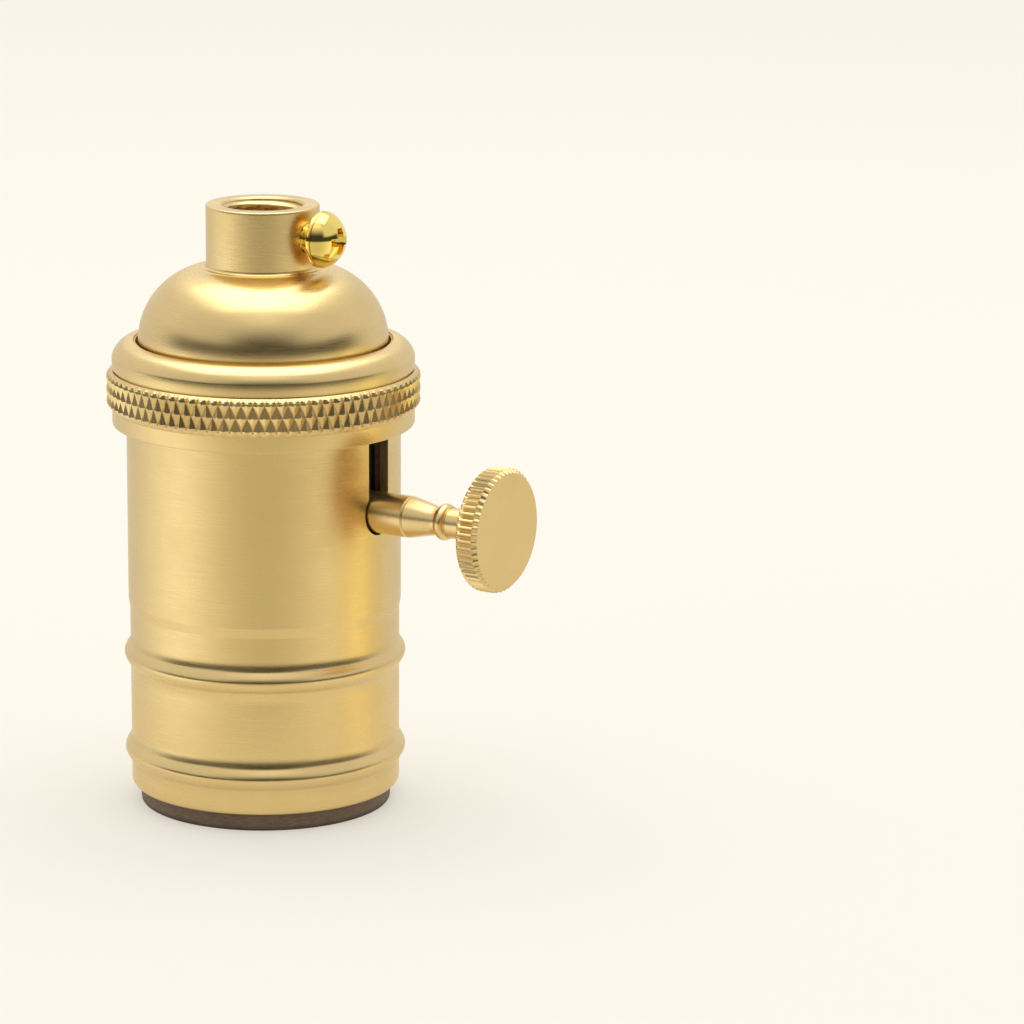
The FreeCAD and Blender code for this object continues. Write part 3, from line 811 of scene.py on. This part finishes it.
@dataclass
class LampEnd:
    """The rolled screw shell that takes the lamp."""

    crest: float = 13.33
    root: float = 12.35
    sheet: float = 0.35
    mouth: float = 3.4
    thread_start: float = 5.0
    thread_end: float = 18.2
    run_in: float = 1.5
    run_out: float = 1.2
    shoulder: float = 19.6
    crown: float = 12.35
    bend: float = 1.0
    roof: float = 22.95
    throat: float = 8.9
    pitch: float = 3.629
    rows: int = 110
    columns: int = 160

    def radius(self, z: np.ndarray, angle: np.ndarray) -> np.ndarray:
        """The inside of the rolled wall.

        r = crest - (crest - root) w (1 + cos 2 pi (z / pitch - a / 2 pi)) / 2, where w rises from 0 to 1
        over the thread's run-in and falls back to 0 before the shoulder.

        Args:
            z, angle: heights and angles that broadcast to a grid.

        Returns:
            The radius on the grid.
        """
        wave = 0.5 * (1 + np.cos(TURN * z / self.pitch - angle))
        rising = np.clip((z - self.thread_start) / self.run_in, 0, 1)
        fade = rising * np.clip((self.thread_end - z) / self.run_out, 0, 1)
        fade = fade * fade * (3 - 2 * fade)
        closing = np.clip((z - self.thread_end) / (self.shoulder - self.thread_end), 0, 1)
        plain = self.crest + (self.crown - self.crest) * closing
        return plain - (self.crest - self.root) * fade * wave

    def screw_shell(self) -> bpy.types.Object:
        """The screw shell: inside up to the roof, in over the flange, and back down the outside.

        Returns:
            The object.
        """
        rise = np.linspace(self.mouth, self.roof - self.bend, self.rows)
        angle = TURN * np.arange(self.columns) / self.columns
        wall = self.radius(rise[:, None], angle)
        centre = (self.crown - self.bend, self.roof - self.bend - self.sheet)
        flange = upright(self.throat, np.array([self.roof - self.sheet, self.roof]))
        over = np.vstack([arc(centre, self.bend, 0, 90, 8), flange,
                          arc(centre, self.bend + self.sheet, 90, 0, 8)])
        r = np.vstack([wall, np.repeat(over[:, :1], self.columns, axis=1), wall[::-1] + self.sheet])
        z = np.minimum(np.concatenate([rise, over[:, 1], rise[::-1]]), self.roof)
        faces = grid_faces(len(z), self.columns, True, True)
        return mesh_object("lamp_screw_shell", around(r, angle, z[:, None]), [faces], 50.0)

    def build(self, nickel: Finish) -> None:
        """Make and hang the screw shell."""
        place(self.screw_shell(), nickel, "barrel", "nickel", "screw_shell")


@dataclass
class CouplingRing:
    """The knurled ring that clamps the cap on the barrel."""

    inner: float = 17.4
    bottom: float = 48.95
    band: float = 19.0
    knurl: float = 19.72
    knurl_low: float = 51.85
    knurl_high: float = 55.3
    foot_bevel: float = 0.85
    groove: float = 55.85
    groove_width: float = 0.3
    groove_depth: float = 0.35
    crown_radius: float = 2.8
    crown_inset: float = 2.7
    lip_bottom: float = 58.3
    top: float = 59.6
    lip: float = 16.0
    count: int = 84
    point_height: float = 3.16
    point_middle: float = 53.42
    depth: float = 0.42
    land: float = 0.06
    steps: int = 6

    def halves(self, angle: np.ndarray, z: np.ndarray) -> tuple[np.ndarray, np.ndarray]:
        """A place on the rim as a count of half pitches round it and of half points up it."""
        return angle * self.count / math.pi, (z - self.point_middle) / (self.point_height / 2)

    def valley(self, angle: np.ndarray, z: np.ndarray) -> np.ndarray:
        """How deep the knurl's surface lies below its points.

        With a and b from halves(), each four-sided point stands where a + b and a - b are both even.
        The way out from it is the larger of the two sums' distances from an even number, 0 on the point
        and 1 in the slanting valleys, and the depth grows evenly with it outside a narrow land.

        Args:
            angle, z: angles and heights on a grid.

        Returns:
            The depth on the grid.
        """
        a, b = self.halves(angle, z)
        s, t = a + b, a - b
        way = np.maximum(np.abs(s - 2 * np.round(s / 2)), np.abs(t - 2 * np.round(t / 2)))
        return self.depth * np.clip((way - self.land) / (1 - self.land), 0, 1)

    def rim_heights(self) -> np.ndarray:
        """Rows of the rim: an even lattice on which the valleys run corner to corner, and the bevels' ends.

        Returns:
            Heights from the bottom up.
        """
        low = self.knurl_low - self.foot_bevel
        pitch = self.point_height / 2 / self.steps
        reach = int(math.ceil((self.groove - low) / pitch))
        lattice = self.point_middle + pitch * np.arange(-reach, reach + 1)
        lattice = lattice[(lattice > low + 0.04) & (lattice < self.groove - 0.04)]
        corners = np.array([low, self.knurl_low, self.knurl_high, self.groove])
        return np.unique(np.round(np.concatenate([lattice, corners]), 5))

    def rim_radius(self, z: np.ndarray) -> np.ndarray:
        """The rim before it is knurled: a cylinder between two bevels.

        Args:
            z: heights.

        Returns:
            The radius at each.
        """
        rise = self.knurl - self.band
        foot = self.band + rise * (z - self.knurl_low + self.foot_bevel) / self.foot_bevel
        head = self.band + rise * (self.groove - z) / (self.groove - self.knurl_high)
        return np.minimum(np.minimum(foot, head), self.knurl)

    def split(self, quads: np.ndarray, a: np.ndarray, b: np.ndarray) -> np.ndarray:
        """Halve quads along the valley that crosses them, so that each facet stays flat.

        Args:
            quads: (m, 4) point numbers, each quad in the order of grid_faces().
            a, b: the points' places from halves().

        Returns:
            (2 m, 3) array of triangles.
        """
        s, t = (a + b)[quads].mean(axis=1), (a - b)[quads].mean(axis=1)
        rising = np.abs(t - 2 * np.floor(t / 2) - 1) < np.abs(s - 2 * np.floor(s / 2) - 1)
        lined_up = np.where(rising[:, None], quads, np.roll(quads, 1, axis=1))
        return np.concatenate([lined_up[:, [0, 1, 2]], lined_up[:, [0, 2, 3]]])

    def outline(self, rim_z: np.ndarray) -> tuple[np.ndarray, slice]:
        """The ring's section before it is knurled.

        Args:
            rim_z: rows of the rim.

        Returns:
            (r, z) points that close on themselves, and the rim's share of them.
        """
        low = rounded([(self.inner, self.bottom, 0.1), (self.band, self.bottom, 0.28),
                       (self.band, rim_z[0] - 0.1)])
        rim = np.stack([self.rim_radius(rim_z), rim_z], axis=1)
        floor, groove_top = self.band - self.groove_depth, self.groove + self.groove_width
        high = rounded([(floor, self.groove + 0.02), (floor, groove_top), (self.band, groove_top, 0.06),
                        (self.band, groove_top + 0.2)])
        start = math.degrees(math.acos(self.crown_inset / self.crown_radius))
        centre = (self.band - self.crown_inset, self.top - self.crown_radius)
        crown = arc(centre, self.crown_radius, start, 90, 20)
        lip = rounded([(self.lip, self.top, 0.3), (self.lip, self.lip_bottom, 0.1),
                       (self.inner, self.lip_bottom, 0.1)])
        return np.vstack([low, rim, high, crown, lip]), slice(len(low), len(low) + len(rim))

    def ring(self) -> bpy.types.Object:
        """The ring, its rim pressed into rows of four-sided points.

        Returns:
            The object.
        """
        outline, rim = self.outline(self.rim_heights())
        points, angle = turned(outline, self.count * 2 * self.steps)
        columns = points.shape[1]
        base = outline[rim, :1]
        cut = self.knurl - self.valley(angle[rim], points[rim, :, 2])
        drawn_in(points, rim, np.minimum(base, cut) / base)
        faces = grid_faces(len(outline), columns, True, True)
        row = faces[:, 0] // columns
        knurled = (row >= rim.start) & (row < rim.stop - 1)
        pressed = faces[knurled]
        closing = pressed[:, 1] % columns == 0
        a, b = self.halves(angle, points[..., 2])
        triangles = self.split(pressed[~closing], a.ravel(), b.ravel())
        parts = [faces[~knurled], pressed[closing], triangles]
        return mesh_object("coupling_ring_body", points, parts, 20.0)

    def build(self, brass: Finish) -> None:
        """Make and hang the ring."""
        place(self.ring(), brass, "coupling_ring", "brass_satin", "coupling_ring")


@dataclass
class Cap:
    """The turned cap with its threaded neck."""

    inner: float = 14.7
    flange: float = 17.0
    flange_bottom: float = 57.0
    flange_top: float = 58.2
    wall: float = 15.7
    thickness: float = 1.0
    crown_r: float = 6.2
    crown_z: float = 59.4
    dome: float = 9.5
    neck: float = 7.11
    cove: float = 0.8
    top: float = 76.7
    bore: float = 5.0
    pitch: float = 1.0
    thread: float = 0.54
    thread_top: float = 0.35
    thread_bottom: float = 0.15
    run_in: float = 0.6
    run_out: float = 0.5
    thread_rows: int = 110
    screw_height: float = 73.0
    screw_hole: float = 2.05
    drill_start: float = 3.5
    drill_end: float = 9.0
    columns: int = 224
    crease: float = 35.0

    def outline(self) -> tuple[np.ndarray, slice]:
        """The cap's section before its bore is threaded.

        Returns:
            (r, z) points that close on themselves, and the thread's share of them.
        """
        centre = (self.crown_r, self.crown_z)
        cove_r = self.neck + self.cove
        cove_z = self.crown_z + math.sqrt(self.dome ** 2 - (cove_r - self.crown_r) ** 2)
        tilt = math.degrees(math.acos((cove_r - self.crown_r) / self.dome))
        ceiling = self.ceiling()
        flange = rounded([(self.inner, self.flange_bottom, 0.1), (self.flange, self.flange_bottom, 0.1),
                          (self.flange, self.flange_top, 0.1), (self.wall, self.flange_top, 0.1)])
        neck = rounded([(cove_r - 0.05, cove_z + 0.02, 0.02), (self.neck, cove_z + 0.12, 0.55),
                        (self.neck, self.top, 0.32), (self.bore + 0.27, self.top, 0.12),
                        (self.bore, self.top - 0.3, 0.05)], 7)
        outside = np.vstack([flange, arc(centre, self.dome, 0, tilt, 40), neck])
        bore_z = np.linspace(self.top - self.thread_top, ceiling + self.thread_bottom, self.thread_rows)
        inside = np.vstack([[[self.bore, ceiling]], arc(centre, self.dome - self.thickness, 90, 0, 20)])
        threaded = slice(len(outside), len(outside) + len(bore_z))
        return np.vstack([outside, upright(self.bore, bore_z), inside]), threaded

    def ceiling(self) -> float:
        """The height of the cap's inside where the bore begins."""
        return self.crown_z + self.dome - self.thickness

    def body(self) -> bpy.types.Object:
        """The cap with the screw's hole drilled through its neck on the +X side.

        Its bore is threaded by r = bore - thread x wave, the wave shifting a pitch in a turn.

        Returns:
            The object.
        """
        outline, threaded = self.outline()
        points, angle = turned(outline, self.columns)
        z = points[threaded, :, 2]
        run = np.clip((self.top - self.thread_top - z) / self.run_in, 0, 1)
        run = run * np.clip((z - self.ceiling() - self.thread_bottom) / self.run_out, 0, 1)
        wave = sawtooth(z / self.pitch - angle[threaded] / TURN)
        ridge = self.thread * np.clip(wave * 1.25 - 0.12, 0, 1) * run
        drawn_in(points, threaded, (self.bore - ridge) / self.bore)
        faces = grid_faces(len(outline), self.columns, True, True)
        cap = mesh_object("cap_body", points, [faces], self.crease)
        cut_away(cap, [self.drill()], self.crease)
        return cap

    def drill(self) -> bpy.types.Object:
        """The round tool that cuts the grip screw's hole.

        Returns:
            The closed object.
        """
        start, end, radius = self.drill_start, self.drill_end, self.screw_hole
        points, _ = turned(np.array([[0, start], [radius, start], [radius, end], [0, end]]), 48)
        points = laid_along_x(points, self.screw_height)
        return mesh_object("drill", points, [grid_faces(4, 48, True, True)])

    def build(self, brass: Finish) -> None:
        """Make and hang the cap."""
        place(self.body(), brass, "cap", "brass_satin", "cap")


@dataclass
class GripScrew:
    """The pan-headed screw in the neck."""

    height: float = 73.0
    seat: float = 8.65
    tip: float = 5.3
    shank: float = 2.0
    point: float = 0.25
    head: float = 3.57
    rim: float = 0.6
    crown: float = 3.1
    pitch: float = 0.7
    thread: float = 0.38
    run_out: float = 0.3
    thread_rows: int = 60
    recess_width: float = 1.1
    recess_span: float = 4.8
    recess_depth: float = 1.7
    recess_foot: float = 0.7
    columns: int = 96
    crease: float = 35.0

    def body(self) -> bpy.types.Object:
        """The screw about Z, then laid along X: threaded shank, flat underside, domed head with a cross.

        Returns:
            The object.
        """
        length = self.seat - self.tip
        shank_z = np.linspace(-length + self.point, -0.12, self.thread_rows)
        end = np.array([[0, -length], [self.shank - 0.3, -length], [self.shank - 0.02, -length + 0.22]])
        under = rounded([(self.shank, 0.0, 0.05), (self.head, 0.0, 0.15), (self.head, self.rim, 0.3)])
        chord = self.crown - self.rim
        ball = (self.head ** 2 + chord ** 2) / (2 * chord)
        start = math.degrees(math.asin((ball - chord) / ball))
        crown = arc((0, self.crown - ball), ball, start + 2, 90, 18)
        outline = np.vstack([end, upright(self.shank, shank_z), under, crown])
        points, angle = turned(outline, self.columns)
        threaded = slice(len(end), len(end) + len(shank_z))
        z = points[threaded, :, 2]
        groove = self.thread * sawtooth(z / self.pitch - angle[threaded] / TURN)
        fade = np.clip((z + length - self.point) / self.run_out, 0, 1)
        drawn_in(points, threaded, (self.shank - groove * fade) / self.shank)
        points = laid_along_x(points, self.height)
        points[..., 0] += self.seat
        faces = grid_faces(len(outline), self.columns, False, True)
        screw = mesh_object("grip_screw", points, [faces], self.crease)
        cut_away(screw, self.cross(), self.crease)
        return screw

    def cross(self) -> list[bpy.types.Object]:
        """The two tapering tools that cut the cross recess in the head.

        Returns:
            The closed objects.
        """
        half, span = self.recess_width / 2, self.recess_span / 2
        low, high = self.seat + self.crown - self.recess_depth, self.seat + self.crown + 0.5
        signs = np.array([[-1, -1], [1, -1], [1, 1], [-1, 1]])
        tools = []
        for wide, deep in ((span, half), (half, span)):
            foot = signs * (min(wide, self.recess_foot), min(deep, self.recess_foot) * 0.7)
            points = np.column_stack([np.repeat([low, high], 4), np.vstack([foot, signs * (wide, deep)])])
            points[:, 2] += self.height
            faces = [np.arange(8).reshape(2, 4), grid_faces(2, 4, False, True)]
            tools.append(mesh_object("recess", points, faces))
        return tools

    def build(self, gold: Finish) -> None:
        """Make and hang the screw."""
        place(self.body(), gold, "set_screw", "screw_gold", "set_screw")


@dataclass
class Key:
    """The turned key with its serrated disc."""

    height: float = 39.4
    start: float = 15.2
    bore: float = 1.52
    socket: float = 6.3
    sleeve: float = 2.6
    sleeve_end: float = 22.1
    taper_end: float = 25.7
    stem: float = 1.8
    bead_start: float = 26.2
    bead_end: float = 27.7
    bead: float = 2.3
    neck: float = 1.9
    face: float = 35.8
    thickness: float = 2.75
    disc: float = 7.75
    face_chamfer: float = 0.55
    back_chamfer: float = 0.25
    serrations: int = 54
    serration_depth: float = 0.42
    steps: int = 8

    def outline(self) -> np.ndarray:
        """The key's section before its rim is cut.

        Returns:
            (r, z) points that close on themselves: stem, bead, neck, disc and the socket inside.
        """
        back = self.face - self.thickness
        middle = (self.bead_start + self.bead_end) / 2
        swell = arc((self.neck - 0.45, middle), (self.bead_end - self.bead_start) / 2, -62, 62, 11)
        swell[:, 0] += self.bead - swell[:, 0].max()
        stem = rounded([(self.bore, self.start, 0.1), (self.sleeve, self.start, 0.15),
                        (self.sleeve, self.sleeve_end - 0.3), (self.sleeve - 0.15, self.sleeve_end - 0.15),
                        (self.sleeve, self.sleeve_end, 0.1), (self.stem, self.taper_end, 0.4),
                        (self.stem, self.bead_start, 0.05)])
        neck = rounded([(self.neck, self.bead_end + 0.1, 0.1), (self.neck, back, 0.45),
                        (self.disc - self.back_chamfer, back, 0.05)])
        rim = upright(self.disc, np.linspace(back + self.back_chamfer, self.face - self.face_chamfer, 9))
        face = rounded([(self.disc - self.face_chamfer, self.face, 0.06), (5.0, self.face),
                        (2.5, self.face), (0.8, self.face)])
        socket_end = self.start + self.socket
        inside = [[0, self.face], [0, socket_end], [self.bore, socket_end]]
        return np.vstack([stem, swell, neck, rim, face, inside])

    def body(self) -> bpy.types.Object:
        """The key about Z, then laid along X.

        Its rim is scalloped: nowhere does it reach beyond disc - depth (1 + cos n a) / 2, for n serrations.

        Returns:
            The object.
        """
        outline = self.outline()
        points, angle = turned(outline, self.serrations * self.steps)
        cut = self.disc - self.serration_depth * (0.5 + 0.5 * np.cos(angle * self.serrations))
        r, z = outline[:, :1], outline[:, 1:]
        on_rim = (z > self.face - self.thickness - 0.01) & (r > self.disc - 1.2) & (z < self.face + 0.01)
        base = np.maximum(r, 1e-6)
        drawn_in(points, slice(None), np.where(on_rim, np.minimum(base, cut) / base, 1.0))
        faces = grid_faces(*points.shape[:2], True, True)
        return mesh_object("key_body", laid_along_x(points, self.height), [faces], 30.0)

    def build(self, brass: Finish) -> None:
        """Make and hang the key."""
        place(self.body(), brass, "switch_key", "key_brass", "key_knob")


@dataclass
class Works:
    """Pieces inside that keep their built shape and share a finish."""

    finish: Finish
    names: tuple[str, ...]

    def build(self, nodes: dict[str, bpy.types.Object]) -> None:
        """Dress each of the pieces.

        Args:
            nodes: the built nodes by name.
        """
        for name in self.names:
            self.finish.dress(nodes[name])
            LOG.info("%s wears %s", name, self.finish.material.name)


# ---------------------------------------------------------------- light and camera
def bearing(azimuth: float, elevation: float = 0.0) -> np.ndarray:
    """The direction out to an azimuth and an elevation, in degrees: (sin a cos e, -cos a cos e, sin e)."""
    a, e = math.radians(azimuth), math.radians(elevation)
    return np.array([math.sin(a) * math.cos(e), -math.cos(a) * math.cos(e), math.sin(e)])


@dataclass(frozen=True)
class Room:
    """The room that the metal reflects, as light over directions.

    Most pairs are a start and a stop, and triples a middle, a reach and a strength, in a direction's rise
    or in the cosine or sine of its turn from the camera.  The table's pairs are a light and its slope.
    """

    backdrop: Colour = (0.947, 0.913, 0.823)
    warm_tint: Colour = (1.0, 0.88, 0.48)
    table_ahead: tuple[float, float] = (1.74, 1.06)
    table_behind: tuple[float, float] = (1.27, 0.7)
    table_least: float = 0.84
    beside: tuple[float, float] = (0.0, 0.125)
    glint: tuple[float, float, float] = (0.05, 0.1, 0.3)
    near_stripe: tuple[float, float, float] = (0.36, 0.2, -0.5)
    far_stripe: tuple[float, float, float] = (-0.26, 0.2, -0.45)
    warmth: tuple[float, float, float] = (0.03, 0.5, 2.0)
    amber: tuple[float, float] = (0.3, 0.9)
    amber_share: float = 0.42
    front_rise: tuple[float, float] = (0.33, 0.83)
    front_power: float = 1.4
    front_light: float = 1.1
    side_rise: tuple[float, float] = (0.2, 0.32)
    side_light: float = 0.75
    back_light: float = 0.9
    belt_light: float = 0.05
    ahead: tuple[float, float] = (0.80, 0.92)
    behind: tuple[float, float] = (0.1, -0.2)
    horizon: tuple[float, float] = (-0.07, 0.0)

    def build(self, azimuth: float) -> None:
        """Make the world.

        A direction is taken apart into its rise z and the cosine c and sine s of its turn from the camera.
        Below the level the table grows from dull, under the camera, to bright at its sides and falls off
        behind; a second holder to the right leaves a warm band, two dull stripes and a glint there.  Above
        the level stands a dark belt, and over it light from soft boxes that starts lower at the sides than
        in front.  The camera itself sees the backdrop's colour.

        Args:
            azimuth: the camera's azimuth in degrees.
        """
        world = bpy.data.worlds.new("studio")
        world.use_nodes = True
        net = Network(world.node_tree)
        towards, right, z = self.shares(net, azimuth)
        level = (1.0001 - z * z).power(0.5)
        c, s = towards / level, right / level
        on_right = s.ramp(*self.beside)
        above = z.ramp(*self.horizon)
        light = self.table(c, on_right).towards(self.upper(c, z), above)
        middle, reach, steep = self.warmth
        warm = (on_right * c.peak(middle, reach, steep)).most(c.ramp(*self.amber) * self.amber_share)
        warm = warm * (1.0 - above)
        seen = net.ray("Is Camera Ray")
        parts = {}
        for index, (tint, paper) in enumerate(zip(self.warm_tint, self.backdrop)):
            parts[index] = (light * (1.0 - warm * (1.0 - tint))).towards(paper, seen)
        colour = net.out(net.node("ShaderNodeCombineColor", None, parts))
        net.plug(net.tree.nodes["Background"], 0, colour)
        net.plug(net.tree.nodes["Background"], 1, 1.0)
        bpy.context.scene.world = world

    def shares(self, net: Network, azimuth: float) -> list[Value]:
        """A direction's shares towards the camera, to its right and upwards.

        Args:
            net: the world's nodes.
            azimuth: the camera's azimuth in degrees.

        Returns:
            The three shares.
        """
        way = net.out(net.node("ShaderNodeTexCoord"), "Generated")
        axes = (bearing(azimuth), bearing(azimuth + 90), bearing(0, 90))
        dot = {"operation": "DOT_PRODUCT"}
        return [net.out(net.node("ShaderNodeVectorMath", dot, {0: way, 1: tuple(axis)}), "Value")
                for axis in axes]

    def table(self, c: Value, on_right: Value) -> Value:
        """The light from below the level.

        Args:
            c: the cosine of the turn from the camera.
            on_right: 1 on the right of the camera's line, 0 on its left.

        Returns:
            The light.
        """
        (ahead, fall), (far, rise) = self.table_ahead, self.table_behind
        table = (ahead - c * fall).least((c * rise + far).most(self.table_least))
        patches = (self.glint, self.near_stripe, self.far_stripe)
        relief = sum(c.peak(middle, reach) * strength for middle, reach, strength in patches)
        return table * (1.0 + on_right * relief)

    def upper(self, c: Value, z: Value) -> Value:
        """The light from above the level.

        Args:
            c: the cosine of the turn from the camera.
            z: the rise.

        Returns:
            The light.
        """
        front = z.ramp(*self.front_rise).power(self.front_power) * self.front_light + self.belt_light
        side = z.ramp(*self.side_rise) * self.side_light + self.belt_light
        return side.towards(front, c.ramp(*self.ahead)).towards(self.back_light, c.ramp(*self.behind))


@dataclass
class Studio:
    """A pale table that sweeps up into a backdrop, one soft box, the room around them and the camera."""

    azimuth: float = 34.0
    elevation: float = 13.5
    distance: float = 0.600
    target_height: float = 0.0374
    lens: float = 166.64
    swing: float = 2.99
    roll: float = 0.38
    box_elevation: float = 80.0
    box_distance: float = 0.9
    box_size: tuple[float, float] = (1.0, 0.9)
    box_height: float = 0.04
    box_watts: float = 6.0
    table_front: float = -2.5
    table_back: float = 0.8
    bend: float = 0.6
    wall_top: float = 3.0
    half_width: float = 3.0

    def camera(self) -> None:
        """Place the camera on its orbit, turned a little to one side of the holder."""
        back = Vector(bearing(self.azimuth, self.elevation))
        level_ahead, level_right = -Vector(bearing(self.azimuth)), Vector(bearing(self.azimuth + 90))
        pan = math.asin(math.sin(math.radians(self.swing)) / math.cos(math.radians(self.elevation)))
        side = level_right * math.cos(pan) - level_ahead * math.sin(pan)
        up = side.cross(-back).normalized()
        look = up.cross(side)
        c, s = math.cos(math.radians(self.roll)), math.sin(math.radians(self.roll))
        side, up = side * c + up * s, up * c - side * s
        lens = bpy.data.cameras.new("camera")
        lens.lens = self.lens
        lens.clip_start = 0.01
        eye = linked("camera", lens)
        place_at = Matrix.Translation(Vector((0, 0, self.target_height)) + back * self.distance)
        eye.matrix_world = place_at @ Matrix((side, up, -look)).transposed().to_4x4()
        bpy.context.scene.camera = eye

    def lamp(self) -> None:
        """A soft box that faces the holder from high up on the far side."""
        back = Vector(bearing(self.azimuth + 180, self.box_elevation))
        data = bpy.data.lights.new("top_box", "AREA")
        data.shape = "RECTANGLE"
        data.size, data.size_y = self.box_size
        data.energy = self.box_watts
        place_at = Matrix.Translation(Vector((0, 0, self.box_height)) + back * self.box_distance)
        linked("top_box", data).matrix_world = place_at @ back.to_track_quat("Z", "Y").to_matrix().to_4x4()

    def sweep(self) -> None:
        """The paper sweep: a flat table that curves up behind the holder as seen by the camera.

        Its section is a straight run, a quarter circle and an upright run, pushed sideways.
        """
        curve = np.linspace(0, math.pi / 2, 24)
        along = np.concatenate([np.linspace(self.table_front, self.table_back, 30),
                                self.table_back + self.bend * np.sin(curve),
                                np.full(8, self.table_back + self.bend)])
        rise = np.concatenate([np.zeros(30), self.bend * (1 - np.cos(curve)),
                               np.linspace(self.bend, self.wall_top, 8)])
        across = np.linspace(-self.half_width, self.half_width, 12)[None, :, None]
        points = along[:, None, None] * -bearing(self.azimuth) + across * bearing(self.azimuth + 90)
        points[..., 2] = rise[:, None]
        faces = grid_faces(*points.shape[:2], False, False)
        mesh = bpy.data.meshes.new("paper_sweep")
        mesh.from_pydata(points.reshape(-1, 3).tolist(), [], faces.tolist())
        mesh.shade_smooth()
        paper = linked("paper_sweep", mesh)
        Paper().finish().dress(paper)

    def build(self) -> None:
        """Set up everything that isn't the holder."""
        self.camera()
        self.sweep()
        Room().build(self.azimuth)
        self.lamp()
        bpy.context.scene.view_settings.view_transform = "Standard"


def main() -> None:
    """Build the holder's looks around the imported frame."""
    logging.basicConfig(level=logging.INFO, format="%(message)s")
    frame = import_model()
    brass = TurnedMetal("satin_brass", (0.78, 0.58, 0.262), (0.725, 0.53, 0.225), anisotropy=0.7,
                        spread=0.12, marks_per_mm=13.0).finish()
    key_brass = TurnedMetal("key_brass", (0.82, 0.61, 0.28), (0.75, 0.54, 0.22), roughness=0.31,
                            anisotropy=0.0, grain=0.6, mark_depth=0.02, axis=Axis.KEY,
                            axis_height=39.4).finish()
    gold = TurnedMetal("polished_gold", (0.93, 0.71, 0.20), (0.88, 0.64, 0.15), roughness=0.1,
                       anisotropy=0.0, mark_depth=0.001, axis=Axis.KEY, axis_height=73.0).finish()
    nickel = TurnedMetal("nickel", (0.66, 0.62, 0.56), (0.56, 0.52, 0.46), roughness=0.28).finish()
    strip = TurnedMetal("contact_strip", (0.80, 0.60, 0.32), (0.70, 0.48, 0.24), anisotropy=0.0).finish()
    steel = TurnedMetal("steel", (0.55, 0.55, 0.56), (0.45, 0.45, 0.46), anisotropy=0.0, axis=Axis.KEY,
                        axis_height=39.4).finish()
    fibre = PressedFibre().finish()
    phenolic = Moulded("phenolic", (0.022, 0.016, 0.013), 0.38).finish()
    porcelain = Moulded("porcelain", (0.72, 0.69, 0.62), 0.3).finish()
    Barrel().build(brass, fibre)
    LampEnd().build(nickel)
    CouplingRing().build(brass)
    Cap().build(brass)
    GripScrew().build(gold)
    Key().build(key_brass)
    for works in (Works(porcelain, ("lamp_seat",)),
                  Works(phenolic, ("switch_cover", "switch_body", "rotor")),
                  Works(strip, ("centre_leaf", "contact_rivet", "contact_tip", "line_strip", "lamp_strip",
                                "neutral_strip", "bridge_blade")),
                  Works(steel, ("spindle", "spindle_clip", "detent_spring")),
                  Works(nickel, ("screw_shell_rivets",)),
                  Works(strip, ("terminal_screws",))):
        works.build(frame["nodes"])
    Studio().build()


if __name__ == "__main__":
    main()
